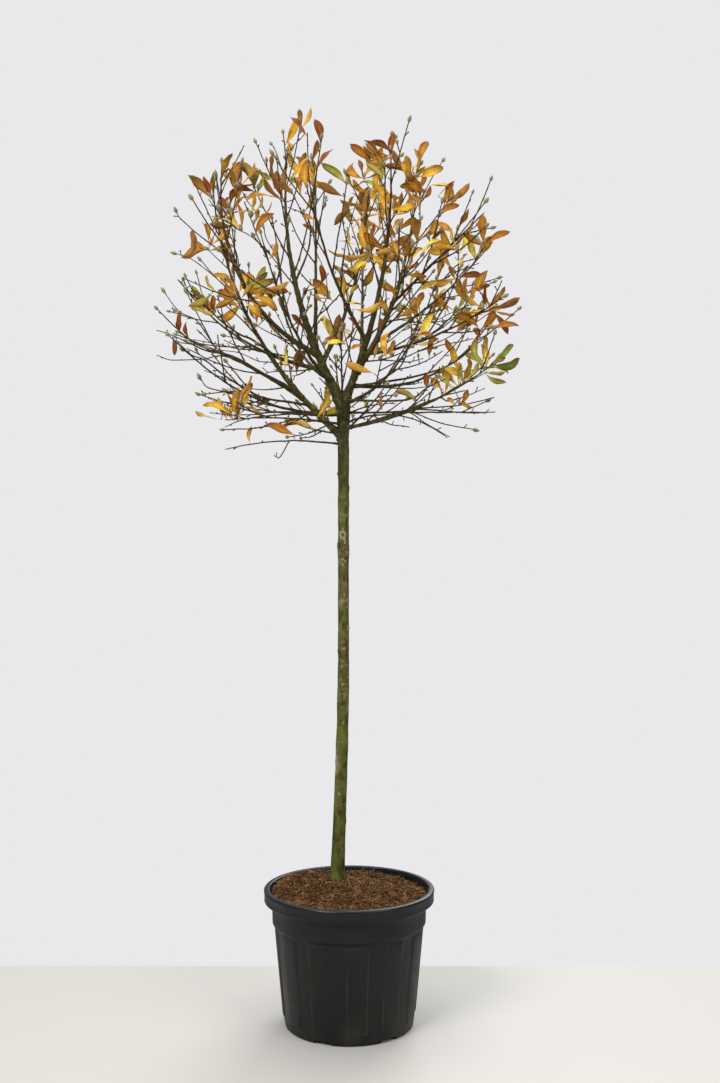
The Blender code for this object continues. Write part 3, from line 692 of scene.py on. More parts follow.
class Finish:
    # a material whose colour is laid on in layers, each over the last
    def __init__(self, name, roughness, **constants):
        self.material = bpy.data.materials.new(name)
        self.material.use_nodes = True
        self.tree = self.material.node_tree
        self.shader = self.tree.nodes["Principled BSDF"]
        self.shader.inputs["Roughness"].default_value = roughness
        for key, value in constants.items():
            self.shader.inputs[key.replace("_", " ")].default_value = value
        self.colour = None

    def place(self):
        return newNode(self.tree, "ShaderNodeTexCoord").outputs["Object"]

    def height(self):
        return newNode(self.tree, "ShaderNodeSeparateXYZ", {0: self.place()}).outputs["Z"]

    def attribute(self, name):
        return newNode(self.tree, "ShaderNodeAttribute", attribute_name=name).outputs["Fac"]

    def cloud(self, scale, detail=4, stretch=(1, 1, 1)):
        place = newNode(self.tree, "ShaderNodeMapping", {0: self.place(), "Scale": stretch}).outputs[0]
        look = {"Vector": place, "Scale": scale, "Detail": detail, "Roughness": 0.55}
        return newNode(self.tree, "ShaderNodeTexNoise", look).outputs["Fac"]

    def mask(self, factor, low, high):
        # 0 at low and 1 at high
        ends = {"Value": factor, "From Min": low, "From Max": high}
        return newNode(self.tree, "ShaderNodeMapRange", ends).outputs[0]

    def patches(self, scale, detail, low, high, stretch=(1, 1, 1)):
        return self.mask(self.cloud(scale, detail, stretch), low, high)

    def reckon(self, operation, *values):
        return newNode(self.tree, "ShaderNodeMath", dict(enumerate(values)), operation=operation).outputs[0]

    def times(self, first, second):
        return self.reckon("MULTIPLY", first, second)

    def mix(self, factor, first, second):
        # a colour mix's factor, colours and result have these numbers
        node = newNode(self.tree, "ShaderNodeMix", {0: factor, 6: first, 7: second}, data_type="RGBA")
        return node.outputs[2]

    def lay(self, colour, factor, strength=None):
        if strength is not None:
            factor = self.times(factor, strength)
        self.colour = self.mix(factor, self.colour, colour)

    def done(self):
        feed(self.tree, self.shader.inputs["Base Color"], self.colour)
        return self.material

    def bumped(self, height, distance, strength):
        look = {"Height": height, "Distance": distance, "Strength": strength}
        feed(self.tree, self.shader.inputs["Normal"], newNode(self.tree, "ShaderNodeBump", look).outputs[0])
        return self.done()


def shaded(colour, shares):
    return tuple(min(1, part * share) for part, share in zip(colour, shares))


barkLook = {
    "green": (0.068, 0.078, 0.013), "lightGreen": (0.112, 0.124, 0.025), "limbGreen": (0.052, 0.06, 0.01),
    "brown": (0.1, 0.074, 0.025), "grey": (0.17, 0.155, 0.09), "pale": (0.4, 0.36, 0.22),
    # the colour laid on the upper stem beneath the crown is painted shade
    "crownShade": (0.03, 0.028, 0.009), "moss": (0.125, 0.12, 0.045), "dark": (0.018, 0.015, 0.004),
    "limb": (0.054, 0.044, 0.013), "twig": (0.062, 0.04, 0.018), "twigTip": (0.07, 0.05, 0.022),
    # heights on the stem and in the crown, and girths of the limbs, between which a look begins or ends
    "bareFrom": (0.8, 1.06), "bareTo": (1.58, 1.4), "crownShadeFrom": (1.44, 1.64), "mossyBelow": (2.02, 1.72),
    "mossyGirth": (0.0025, 0.009), "thickGirth": (0.0015, 0.0075),
}


def stemBark():
    bark = Finish("mossy bark", 0.85, Specular_IOR_Level=0.12)
    height = bark.height()
    bark.colour = bark.mix(
        bark.patches(26, 3, 0.4, 0.6, (1, 1, 0.55)), barkLook["green"], barkLook["lightGreen"]
    )
    # the middle of the stem has less moss and more bare bark
    bare = bark.times(bark.mask(height, *barkLook["bareFrom"]), bark.mask(height, *barkLook["bareTo"]))
    blotches = bark.patches(34, 4, 0.44, 0.56, (1, 1, 0.5))
    bark.lay(barkLook["brown"], bark.times(bark.reckon("MULTIPLY_ADD", bare, 0.8, 0.12), blotches))
    greyed = bark.times(bark.patches(60, 4, 0.55, 0.66, (1, 1, 0.7)), bare)
    bark.lay(barkLook["grey"], greyed, 0.65)
    # lichen flecks, then grime
    flecks = bark.patches(105, 3, 0.61, 0.68, (1, 1, 0.8))
    bark.lay(barkLook["pale"], bark.times(flecks, bark.reckon("MULTIPLY_ADD", bare, 0.62, 0.1)))
    bark.lay(barkLook["dark"], bark.patches(70, 5, 0.52, 0.36, (1, 1, 0.4)), 0.75)
    bark.lay(barkLook["pale"], bark.attribute("scar"), 0.75)
    bark.lay(barkLook["dark"], bark.attribute("shadow"))
    # painted shade: the upper stem under the crown is darkened as if in its shade, and has moss there
    crownShade = bark.mask(height, *barkLook["crownShadeFrom"])
    bark.lay(barkLook["crownShade"], crownShade, 0.9)
    bark.lay(barkLook["moss"], bark.times(crownShade, bark.patches(75, 4, 0.5, 0.62, (1, 1, 0.8))), 0.45)
    return bark.bumped(bark.cloud(260, 5, (1, 1, 0.35)), 0.0012, 0.85)


def limbBark(name, thick, thin):
    bark = Finish(name, 0.85, Specular_IOR_Level=0.1)
    height, girth = bark.height(), bark.attribute("girth")
    bark.colour = bark.mix(bark.mask(girth, *barkLook["thickGirth"]), thin, thick)
    mossy = bark.times(bark.mask(height, *barkLook["mossyBelow"]), bark.mask(girth, *barkLook["mossyGirth"]))
    bark.lay(barkLook["limbGreen"], mossy, 0.55)
    bark.lay(barkLook["moss"], bark.times(mossy, bark.patches(75, 4, 0.52, 0.64)), 0.65)
    bark.lay(barkLook["pale"], bark.patches(210, 2, 0.6, 0.7), 0.35)
    bark.lay(barkLook["dark"], bark.patches(75, 3, 0.6, 0.36), 0.6)
    return bark.bumped(bark.cloud(420, 4), 0.0005, 0.6)


# blade, midrib, and a slot name of the record
leafTints = {
    "gold": ((0.66, 0.345, 0.026), (0.76, 0.46, 0.07), "gold_foliage"),
    "amber": ((0.43, 0.17, 0.014), (0.56, 0.27, 0.035), "amber_foliage"),
    "rust": ((0.2, 0.062, 0.011), (0.31, 0.115, 0.023), "rust_foliage"),
    "yellow": ((0.74, 0.54, 0.05), (0.78, 0.61, 0.12), "yellow_foliage"),
    "lime": ((0.42, 0.42, 0.055), (0.56, 0.54, 0.14), "yellow_foliage"),
    "green": ((0.13, 0.21, 0.022), (0.24, 0.32, 0.06), "yellow_foliage"),
}
leafLook = {
    "darker": (0.62, 0.5, 0.6), "lighter": (1.1, 1.3, 1.6),  # of the blade's colour
    "tip": (0.15, 0.048, 0.016), "under": (0.27, 0.16, 0.04), "roughness": 0.62,
    "veins": 75, "veinSlant": 0.13, "rows": 9, "thickness": 0.0007, "edge": 0.35,
    "stalk": 0.12, "stalkWidth": 0.1, "lengthen": 1.1, "widths": (0.215, 0.315),
    "folds": (0.2, 0.75), "twists": (-70, 70), "bends": (-0.16, 0.16), "waves": (0.08, 0.38),
    "tipCurls": (-0.05, 0.32), "tipCurlFrom": 0.66,
}


def leafMaterial(tint, blade, rib):
    leaf = Finish(tint + " leaf", leafLook["roughness"], Specular_IOR_Level=0.08)
    length, across, mood = leaf.attribute("along"), leaf.attribute("across"), leaf.attribute("mood")
    beside = leaf.reckon("ABSOLUTE", across)
    darker = shaded(blade, leafLook["darker"])
    leaf.colour = leaf.mix(leaf.patches(42, 3, 0.36, 0.64), darker, shaded(blade, leafLook["lighter"]))
    leaf.lay(darker, mood, 0.55)
    leaf.lay(rib, leaf.mask(beside, 0.2, 0.03), 0.6)
    # tips and margins turn brown first
    margin = leaf.times(leaf.mask(beside, 0.55, 1.05), 0.6)
    edge = leaf.reckon("ADD", leaf.mask(length, 0.6, 0.96), margin)
    spots = leaf.times(leaf.patches(160, 2, 0.6, 0.7), 0.45)
    browned = leaf.times(leaf.reckon("ADD", edge, spots), leaf.reckon("MULTIPLY_ADD", mood, 0.68, 0.32))
    leaf.lay(leafLook["tip"], browned)
    # the underside layer is laid a duller brown: partly the leaf's own duller underside, partly painted shade
    leaf.lay(leafLook["under"], leaf.attribute("under"), 0.4)
    slant = leaf.times(beside, leafLook["veinSlant"])
    veins = leaf.reckon("SINE", leaf.times(leaf.reckon("SUBTRACT", length, slant), leafLook["veins"]))
    relief = leaf.reckon("ADD", leaf.times(veins, 0.5), leaf.mask(beside, 0.14, 0.02))
    return leaf.bumped(relief, 0.0004, 0.5)


budLook = {
    "dark": (0.115, 0.11, 0.05), "silk": (0.29, 0.27, 0.15), "warm": (0.26, 0.16, 0.06), "roughness": 0.7,
    "sheen": 0.25, "sheenRoughness": 0.4,
    "silky": {"rows": 7, "sides": 8, "belly": 0.42, "hook": 0.12},
    "small": {"rows": 5, "sides": 5, "belly": 0.4, "hook": 0.05},
    "silkySeed": 3, "smallSeed": 5,
}


def budMaterial():
    bud = Finish(
        "silky bud", budLook["roughness"], Specular_IOR_Level=0.2,
        Sheen_Weight=budLook["sheen"], Sheen_Roughness=budLook["sheenRoughness"],
    )
    fuzz = bud.cloud(650, 3, (1, 1, 0.3))
    bud.colour = bud.mix(bud.mask(fuzz, 0.35, 0.65), budLook["dark"], budLook["silk"])
    bud.lay(budLook["warm"], bud.patches(14, 1, 0.45, 0.62), 0.35)
    return bud.bumped(fuzz, 0.0006, 0.7)


# the stem, with its knots, rings and root flare

Knot = collections.namedtuple("Knot", "height degrees half proud hollow")
Ring = collections.namedtuple("Ring", "height tilt proud")
trunkLook = {
    "sides": 48, "step": 0.0034, "capHeight": 0.006,
    "waviness": 0.0011, "wavesAMetre": 16, "relief": 0.00035, "ridgesAMetre": 120,
    "smallKnot": 0.0042,  # a healed knot under this half width is a pale dot
    "knots": (
        Knot(1.39, -97, 0.0092, 0.0018, True), Knot(1.361, 182, 0.0085, 0.002, False),
        Knot(1.303, -98, 0.0034, 0.0009, False), Knot(1.666, 186, 0.0042, 0.0062, False),
        Knot(1.567, 190, 0.0045, 0.0032, False), Knot(1.526, 2, 0.01, 0.0022, False),
        Knot(1.265, -70, 0.005, 0.001, False), Knot(1.12, -20, 0.006, 0.0016, False),
        Knot(1.052, 170, 0.006, 0.0016, False), Knot(0.847, -86, 0.0034, 0.0009, False),
        Knot(0.735, 188, 0.008, 0.0014, False), Knot(0.641, -104, 0.004, 0.001, False),
        Knot(0.56, -8, 0.007, 0.0015, False), Knot(1.44, 75, 0.007, 0.0016, True),
        Knot(1.21, 110, 0.007, 0.002, False), Knot(0.9, 60, 0.0065, 0.0016, True),
        Knot(0.7, 95, 0.007, 0.0014, False), Knot(1.6, 60, 0.0055, 0.0028, False),
        Knot(1.7, -60, 0.0065, 0.0022, False), Knot(1.01, -110, 0.0038, 0.0009, False),
    ),
    "ringHalf": 0.0022, "ringPaleness": 620,
    "rings": (
        Ring(1.5, 0.002, 0.0007), Ring(1.448, -0.003, 0.0009), Ring(1.198, 0.001, 0.001),
        Ring(0.943, 0.002, 0.0008), Ring(0.931, 0.002, 0.0007), Ring(1.64, -0.002, 0.0007),
        Ring(1.08, 0.002, 0.0005), Ring(0.79, -0.002, 0.0006), Ring(0.61, 0.003, 0.0005),
        Ring(0.5, -0.002, 0.0005), Ring(1.33, 0.002, 0.0005),
    ),
    "patch": (0.735, -150, 0.035, 0.01),  # a worn pale patch: height, degrees, half height, half width
}


def aroundStem(angle, degrees, radius):
    # how far round the bark one angle is from another
    return math.radians((angle - degrees + 180) % 360 - 180) * radius


def stemSkin(height, angle):
    # how far out the bark lies at that height and angle, and how scarred and how shadowed it is
    look = trunkLook
    turn = math.radians(angle)
    radius = stemRadius(height)
    flare = stem["flare"] * math.exp(-(height - stem["soilTop"]) / stem["flareHeight"])
    lobe = 1 + stem["flareLobeDepth"] * math.cos(stem["flareLobes"] * turn)
    here = Vector((math.cos(turn) * 1.1, math.sin(turn) * 1.1, height * look["wavesAMetre"]))
    ridge = Vector((math.cos(turn) * 7, math.sin(turn) * 7, height * look["ridgesAMetre"]))
    out = radius + flare * lobe + look["waviness"] * noise.noise(here)
    out += look["relief"] * noise.fractal(ridge, 0.7, 2, 3)
    scar = shadow = 0.0
    for knot in look["knots"]:
        if abs(height - knot.height) > knot.half * 3:
            continue
        around = aroundStem(angle, knot.degrees, radius)
        distance = math.hypot(around, (height - knot.height) * 0.9) / knot.half
        if knot.hollow:
            rim = math.exp(-((distance - 0.8) / 0.3) ** 2)
            out += knot.proud * rim - knot.proud * 0.8 * math.exp(-(distance / 0.4) ** 2)
            scar = max(scar, rim * 0.8)
            shadow = max(shadow, 0.85 * math.exp(-(distance / 0.38) ** 2))
            continue
        out += knot.proud * math.exp(-distance ** 2)
        if knot.half < look["smallKnot"]:
            scar = max(scar, 0.9 * math.exp(-(distance / 0.75) ** 2))
        if knot.proud > 0.003:
            shadow = max(shadow, 0.5 * math.exp(-((distance - 0.1) / 0.5) ** 2))
    for ring in look["rings"]:
        away = (height - ring.height - ring.tilt * math.cos(turn)) / look["ringHalf"]
        if abs(away) < 3:
            thickness = math.exp(-away ** 2)
            out += ring.proud * thickness
            mottle = 0.55 + 0.45 * noise.noise(here * 3)
            scar = max(scar, thickness * ring.proud * look["ringPaleness"] * mottle)
    patchHeight, degrees, halfHeight, halfWidth = look["patch"]
    around = aroundStem(angle, degrees, radius)
    worn = math.exp(-((height - patchHeight) / halfHeight) ** 4 - (around / halfWidth) ** 2)
    scar = max(scar, worn * (0.55 + 0.8 * noise.noise(here * 5)))
    return out, min(1, max(0, scar)), min(1, max(0, shadow))


def makeStem(bark):
    sides = trunkLook["sides"]
    base = stem["soilTop"] + growth["gap"]
    count = round((stem["fork"] - base) / trunkLook["step"])
    points, scars, shadows = [], [], []
    for row in range(count + 1):
        height = base + (stem["fork"] - base) * row / count
        centre = stemPoint(height)
        for side in range(sides):
            angle = 360 * side / sides
            out, scar, shadow = stemSkin(height, angle)
            points.append(centre + polar(out, angle))
            scars.append(scar)
            shadows.append(shadow)
    top = len(points)
    points.append(stemPoint(stem["fork"]) + up * trunkLook["capHeight"])
    faces = [tuple(reversed(range(sides)))] + ringFaces(count + 1, sides)
    faces += [(count * sides + side, count * sides + (side + 1) % sides, top) for side in range(sides)]
    made = newObject("stem_bark", points, faces)
    addAttribute(made.data, "scar", scars + [0])
    addAttribute(made.data, "shadow", shadows + [0.5])
    settle(finished(made, bark), "bark", "trunk")


# leaves

def bladeWidth(share):
    # half width at that share of the length, against the widest
    if share <= leafLook["stalk"]:
        return leafLook["stalkWidth"]
    blade = (share - leafLook["stalk"]) / (1 - leafLook["stalk"])
    return max(0.03, leafLook["stalkWidth"] * (1 - blade) + (blade ** 1.28 * (1 - blade) ** 0.75) / 0.2664)


class Foliage:
    # one joined mesh of leaves, each a closed blade of two layers
    columns = (-1, -0.5, 0, 0.5, 1)

    def __init__(self):
        self.points, self.faces = [], []
        self.marks = {"along": [], "across": [], "mood": [], "under": []}

    def add(self, leaf, dice):
        rows = leafLook["rows"]
        side = turned(leaf.heading.cross(leaf.face).normalized(), leaf.heading, leaf.roll)
        face = side.cross(leaf.heading).normalized()
        fold = dice.uniform(*leafLook["folds"])
        twist = dice.uniform(*leafLook["twists"])
        bend = dice.uniform(*leafLook["bends"])
        tipCurl = dice.uniform(*leafLook["tipCurls"])
        wave, phase = dice.uniform(*leafLook["waves"]), dice.uniform(0, 6.28)
        length = leaf.length * leafLook["lengthen"]
        width = length * dice.uniform(*leafLook["widths"]) / 2
        mood = dice.random()
        first = len(self.points)
        for layer in (1, -1):
            for row in range(rows + 1):
                share = row / rows
                beyond = max(0, share - leafLook["tipCurlFrom"])
                centre = leaf.root - leaf.heading * growth["leafSink"] + leaf.heading * length * share
                centre -= face * length * (leaf.curl * share ** 1.8 + tipCurl * beyond ** 1.5 * 2)
                centre += side * length * bend * math.sin(share * math.pi)
                across = turned(side, leaf.heading, twist * (share - 0.3))
                above = turned(face, leaf.heading, twist * (share - 0.3))
                half = width * bladeWidth(share)
                for column in self.columns:
                    ripple = wave * math.sin(share * 11 + phase + column * 1.3) * abs(column)
                    lift = half * (fold * abs(column) ** 1.3 + ripple) * (share > leafLook["stalk"])
                    lift += layer * leafLook["thickness"] / 2 * (1.0 if abs(column) < 1 else leafLook["edge"])
                    self.points.append(centre + across * half * column + above * lift)
                    marks = {"along": share, "across": column, "mood": mood, "under": float(layer < 0)}
                    for name, value in marks.items():
                        self.marks[name].append(value)
        self.close(first, rows)

    def close(self, first, rows):
        # the skins of both layers, then the margins, then the two ends
        wide = len(self.columns)
        layer = (rows + 1) * wide
        for row in range(rows):
            for column in range(wide - 1):
                a = first + row * wide + column
                b = a + layer
                self.faces += [(a, a + 1, a + 1 + wide, a + wide), (b, b + wide, b + 1 + wide, b + 1)]
            left, right = first + row * wide, first + row * wide + wide - 1
            self.faces.append((left, left + wide, left + wide + layer, left + layer))
            self.faces.append((right, right + layer, right + wide + layer, right + wide))
        for row in (0, rows):
            for column in range(wide - 1):
                a = first + row * wide + column
                end = (a, a + layer, a + 1 + layer, a + 1)
                self.faces.append(tuple(reversed(end)) if row else end)

    def make(self, name, finish):
        made = newObject(name, self.points, self.faces)
        for mark, values in self.marks.items():
            addAttribute(made.data, mark, values)
        return finished(made, finish)


# what the photograph shows of single leaves and twigs, read from it, in its own pixels

view = {"x": 0.031, "y": -3.59, "z": 1.371, "focal": 1257, "width": 720, "height": 1083, "sensor": 36}

# root x, root y, tip x, tip y of each blade
markedLeaves = {
    "gold": (
        (303, 133, 316, 110), (285, 145, 296, 126), (293, 180, 308, 164), (303, 213, 310, 194),
        (253, 226, 258, 215), (237, 240, 226, 227), (241, 294, 244, 266), (248, 297, 258, 282),
        (251, 296, 271, 285), (234, 297, 220, 294), (329, 297, 319, 292), (359, 188, 354, 163),
        (385, 174, 382, 154), (373, 194, 375, 175), (360, 202, 376, 195), (389, 209, 390, 198),
        (392, 210, 399, 199), (393, 213, 410, 195), (421, 181, 427, 172), (457, 252, 440, 231),
        (474, 255, 468, 238), (424, 240, 439, 223), (422, 248, 435, 241), (452, 269, 443, 257),
        (467, 297, 478, 275), (415, 286, 431, 279), (371, 255, 356, 247), (371, 254, 376, 243),
        (373, 258, 382, 273), (375, 255, 387, 259), (369, 254, 345, 258), (350, 268, 337, 264),
        (397, 257, 392, 241), (406, 261, 411, 243), (383, 233, 385, 216), (372, 236, 364, 217),
        (396, 229, 393, 213), (393, 299, 390, 290), (417, 213, 414, 199), (353, 309, 375, 303),
        (389, 313, 380, 302), (419, 324, 414, 300), (485, 308, 471, 296), (492, 307, 504, 293),
        (386, 363, 387, 333), (392, 366, 394, 354), (375, 370, 378, 354), (375, 374, 349, 363),
        (445, 391, 429, 375), (460, 381, 453, 361), (458, 402, 467, 405), (457, 407, 449, 399),
        (397, 319, 403, 307), (239, 306, 225, 303), (245, 299, 259, 291), (246, 300, 262, 305),
        (331, 299, 318, 293), (223, 420, 216, 403), (234, 418, 225, 405), (234, 419, 243, 412),
        (244, 401, 251, 396), (251, 388, 253, 381), (251, 453, 251, 438), (317, 420, 298, 416),
        (319, 422, 314, 404), (301, 423, 285, 427), (284, 359, 273, 356),
    ),
    "rust": (
        (324, 145, 319, 123), (318, 166, 332, 146), (319, 160, 323, 143), (235, 194, 235, 166),
        (265, 185, 263, 164), (210, 195, 203, 177), (283, 199, 276, 170), (284, 202, 266, 187),
        (285, 196, 288, 174), (234, 213, 225, 205), (191, 251, 195, 222), (235, 282, 234, 264),
        (319, 286, 321, 271), (312, 299, 318, 290), (248, 187, 241, 174), (394, 159, 397, 133),
        (390, 155, 374, 146), (408, 170, 396, 154), (351, 196, 331, 182), (358, 206, 341, 201),
        (408, 196, 406, 179), (459, 279, 468, 269), (357, 287, 338, 280), (487, 309, 476, 291),
        (493, 308, 511, 312), (479, 338, 474, 326), (382, 334, 382, 323), (365, 324, 359, 319),
        (338, 345, 341, 332), (170, 339, 172, 355), (269, 298, 269, 290), (287, 313, 287, 298),
        (280, 325, 280, 315), (308, 334, 293, 320), (339, 346, 339, 334), (251, 330, 249, 322),
        (290, 367, 284, 360),
    ),
    "amber": (
        (219, 181, 235, 161), (245, 182, 261, 157), (205, 196, 186, 178), (311, 177, 279, 158),
        (310, 178, 303, 163), (298, 201, 297, 182), (245, 202, 258, 192), (279, 198, 258, 192),
        (247, 223, 240, 194), (252, 238, 268, 220), (207, 245, 205, 227), (209, 248, 195, 238),
        (212, 245, 226, 230), (259, 262, 266, 246), (226, 271, 219, 251), (226, 286, 220, 276),
        (266, 292, 271, 286), (310, 237, 300, 228), (311, 223, 300, 216), (228, 210, 240, 204),
        (412, 162, 420, 136), (382, 159, 360, 152), (383, 156, 362, 147), (420, 188, 408, 170),
        (364, 181, 360, 164), (379, 212, 359, 209), (414, 202, 408, 181), (418, 201, 414, 182),
        (435, 201, 446, 172), (438, 196, 449, 181), (445, 198, 469, 178), (432, 217, 448, 204),
        (455, 234, 438, 218), (459, 231, 470, 215), (484, 245, 482, 222), (488, 247, 511, 234),
        (476, 251, 483, 244), (421, 245, 435, 236), (445, 279, 439, 268), (464, 297, 457, 287),
        (435, 292, 432, 278), (348, 258, 330, 254), (400, 257, 399, 243), (408, 262, 402, 250),
        (399, 272, 415, 265), (372, 241, 376, 227), (400, 231, 413, 220), (362, 217, 357, 206),
        (390, 250, 395, 233), (383, 248, 379, 240), (354, 289, 351, 279), (408, 299, 406, 286),
        (415, 303, 408, 291), (421, 308, 442, 293), (453, 309, 442, 301), (468, 303, 473, 290),
        (480, 320, 499, 312), (476, 323, 476, 311), (454, 334, 467, 321), (499, 338, 525, 332),
        (432, 367, 434, 347), (459, 359, 449, 345), (380, 387, 380, 402), (459, 401, 466, 389),
        (428, 387, 428, 380), (408, 332, 417, 325), (408, 316, 401, 307), (354, 347, 364, 345),
        (406, 347, 413, 338), (213, 317, 200, 297), (216, 315, 217, 301), (189, 339, 186, 324),
        (237, 305, 220, 294), (255, 318, 249, 310), (240, 413, 237, 403), (255, 413, 268, 406),
        (289, 383, 288, 375),
    ),
    "lime": (
        (262, 188, 247, 158), (247, 289, 261, 267), (210, 297, 200, 292), (351, 185, 331, 169),
        (372, 180, 369, 158), (382, 181, 375, 163), (455, 311, 462, 297), (491, 371, 506, 364),
        (483, 369, 476, 339), (485, 369, 487, 339), (413, 403, 397, 394), (452, 386, 441, 371),
        (462, 380, 474, 364), (211, 302, 200, 291), (213, 318, 185, 306), (321, 422, 334, 394),
    ),
    "yellow": (
        (242, 223, 234, 199), (386, 209, 375, 196), (460, 254, 469, 229), (470, 257, 466, 243),
        (460, 268, 456, 258), (372, 257, 359, 275), (355, 245, 351, 229), (351, 299, 359, 289),
        (420, 322, 434, 309), (494, 305, 507, 301), (484, 370, 481, 349), (414, 345, 433, 342),
        (368, 401, 373, 409), (458, 382, 448, 364), (331, 335, 336, 326), (324, 341, 336, 326),
        (277, 341, 274, 332), (319, 418, 325, 394), (284, 371, 277, 366),
    ),
    "green": (
        (492, 361, 512, 339),
    ),
}

# depth of the tip, whether it ends in a silky bud, and the line from the root
markedTwigs = (
    (-0.05, False, ((308, 398), (287, 386), (264, 374), (244, 362), (229, 355), (208, 351), (191, 344),
        (174, 336), (159, 331))),
    (0.0, False, ((244, 363), (221, 356), (203, 359), (172, 360), (159, 356))),
    (-0.12, True, ((312, 402), (289, 402), (264, 398), (244, 388), (221, 373), (206, 361), (194, 356),
        (185, 351))),
    (0.1, False, ((244, 388), (221, 377), (206, 371))),
    (-0.1, True, ((264, 398), (241, 394), (221, 391), (207, 387), (201, 379))),
    (0.05, False, ((267, 398), (250, 403), (231, 403), (216, 400), (197, 393))),
    (0.15, False, ((308, 412), (277, 412), (259, 413), (246, 410), (226, 405), (210, 399))),
    (-0.2, False, ((259, 413), (231, 415), (212, 413))),
    (-0.1, False, ((315, 412), (302, 413), (277, 415), (251, 418), (239, 421), (227, 426))),
    (0.1, False, ((315, 422), (286, 425), (260, 427))),
    (0.0, False, ((289, 450), (280, 457), (275, 456))),
    (0.0, True, ((217, 344), (205, 332), (196, 320), (180, 312), (169, 299), (165, 293))),
    (-0.12, False, ((278, 355), (267, 350), (251, 339), (239, 334), (220, 320), (206, 306), (188, 291),
        (179, 281))),
    (0.05, False, ((267, 350), (254, 333), (241, 319), (226, 306), (210, 295))),
    (-0.05, True, ((268, 353), (255, 350), (237, 339), (226, 336))),
    (0.05, False, ((299, 361), (280, 355), (255, 350), (239, 349), (217, 344), (196, 340))),
    (0.12, False, ((289, 366), (269, 362), (258, 361), (236, 352), (208, 350))),
    (0.0, False, ((318, 372), (296, 371), (280, 371), (268, 372), (264, 369))),
    (0.0, True, ((315, 325), (321, 320))),
    (-0.1, False, ((351, 424), (386, 417), (408, 410), (431, 410), (469, 413), (493, 412))),
    (0.1, False, ((386, 417), (408, 412), (425, 423), (448, 436))),
    (0.0, False, ((408, 410), (438, 398), (448, 401), (466, 396), (483, 389))),
    (-0.2, False, ((338, 401), (389, 401), (413, 398), (428, 387), (443, 380))),
    (-0.08, False, ((408, 411), (438, 398), (456, 387), (470, 381), (485, 373))),
    (0.05, False, ((358, 387), (383, 382), (408, 378), (438, 370), (456, 361), (470, 350), (474, 342),
        (485, 324), (492, 317))),
    (0.15, False, ((376, 368), (400, 360), (417, 352), (445, 339), (476, 322), (492, 311))),
    (0.1, False, ((417, 352), (442, 345), (459, 342), (471, 339))),
    (0.2, False, ((389, 324), (414, 317), (434, 312), (446, 308))),
    (-0.05, True, ((428, 336), (442, 326), (453, 315), (462, 308), (470, 305))),
    (0.05, False, ((408, 328), (434, 321), (449, 314))),
    (0.0, False, ((428, 336), (439, 328), (449, 319), (467, 315))),
    (-0.1, False, ((383, 363), (406, 362), (414, 361), (421, 359))),
    (-0.1, False, ((351, 408), (369, 406), (392, 403))),
    (0.05, False, ((376, 381), (400, 367), (408, 349), (417, 333), (428, 326))),
    (0.05, True, ((383, 206), (386, 177), (392, 166), (400, 157))),
    (0.0, True, ((420, 213), (421, 202), (431, 180), (442, 162))),
    (-0.1, True, ((413, 279), (435, 261), (452, 248), (467, 233), (476, 226))),
    (0.1, False, ((428, 289), (456, 266), (476, 258), (485, 247))),
    (0.05, False, ((414, 286), (441, 280), (456, 272), (477, 264))),
    (-0.05, False, ((338, 269), (347, 237), (353, 213), (358, 198))),
    (-0.05, True, ((235, 264), (219, 250), (200, 236), (181, 219), (177, 213))),
    (0.0, True, ((230, 293), (210, 273), (191, 259), (177, 254))),
    (0.05, True, ((223, 216), (213, 191), (215, 181))),
    (-0.05, False, ((273, 255), (252, 237), (234, 227), (217, 210), (210, 201))),
    (0.0, True, ((284, 265), (276, 255), (266, 238), (262, 220), (248, 202), (240, 188), (227, 173))),
    (0.1, True, ((286, 177), (280, 164), (276, 152), (272, 145))),
    (0.0, False, ((314, 187), (291, 154), (303, 136))),
    (-0.1, True, ((331, 297), (325, 272), (314, 241), (315, 180), (312, 160))),
    (0.05, False, ((297, 282), (308, 251), (310, 224), (301, 213), (290, 208))),
    (-0.1, False, ((248, 297), (240, 272), (237, 255), (228, 230), (220, 216), (212, 199))),
)

marking = {
    "depthWeight": 70,  # a metre of depth counts as so many pixels
    "adopt": 24,  # a marked leaf takes the place of the nearest grown one within so many pixels
    "reach": 11,  # a leaf further than this from all wood gets a short twig
    "clump": 12,  # grown leaves stay within so many pixels of a marked one
    "company": 4, "crowd": 20,  # a clump has so many marked leaves within so many pixels
    "leaves": 470, "depths": (-0.22, 0.25), "longer": 1.27, "longest": 0.086, "shortest": 0.056,
    "lean": 0.42, "curls": (-0.06, 0.12), "rolls": (-56, 56), "turnedOver": 0.35, "budAtRoot": 0.2,
}
# a leaf beside a marked one: pixels and degrees away from it, pixels long
besideLook = {
    "away": (-4, 4), "angles": (20, 65), "lengths": (15, 24), "depths": (-0.28, 0.34), "faceTurns": (-80, 80),
}
markedTwigLook = {
    "stemX": 337, "halfCrown": 200, "depthCurve": 0.8, "radius": 0.0013, "thickening": 0.0066,
    "thickest": 0.004, "tip": 0.0012, "parentRadius": 0.003,
    "silkyBud": (0.0058, 0.023), "smallBud": (0.0017, 0.009),  # girth and length
}


def pixelOf(point):
    depth = point.y - view["y"]
    return (
        view["width"] / 2 + view["focal"] * (point.x - view["x"]) / depth,
        view["height"] / 2 + view["focal"] * (view["z"] - point.z) / depth,
    )


def spaceAt(x, y, depth):
    scale = (depth - view["y"]) / view["focal"]
    across, down = x - view["width"] / 2, y - view["height"] / 2
    return Vector((view["x"] + across * scale, depth, view["z"] - down * scale))


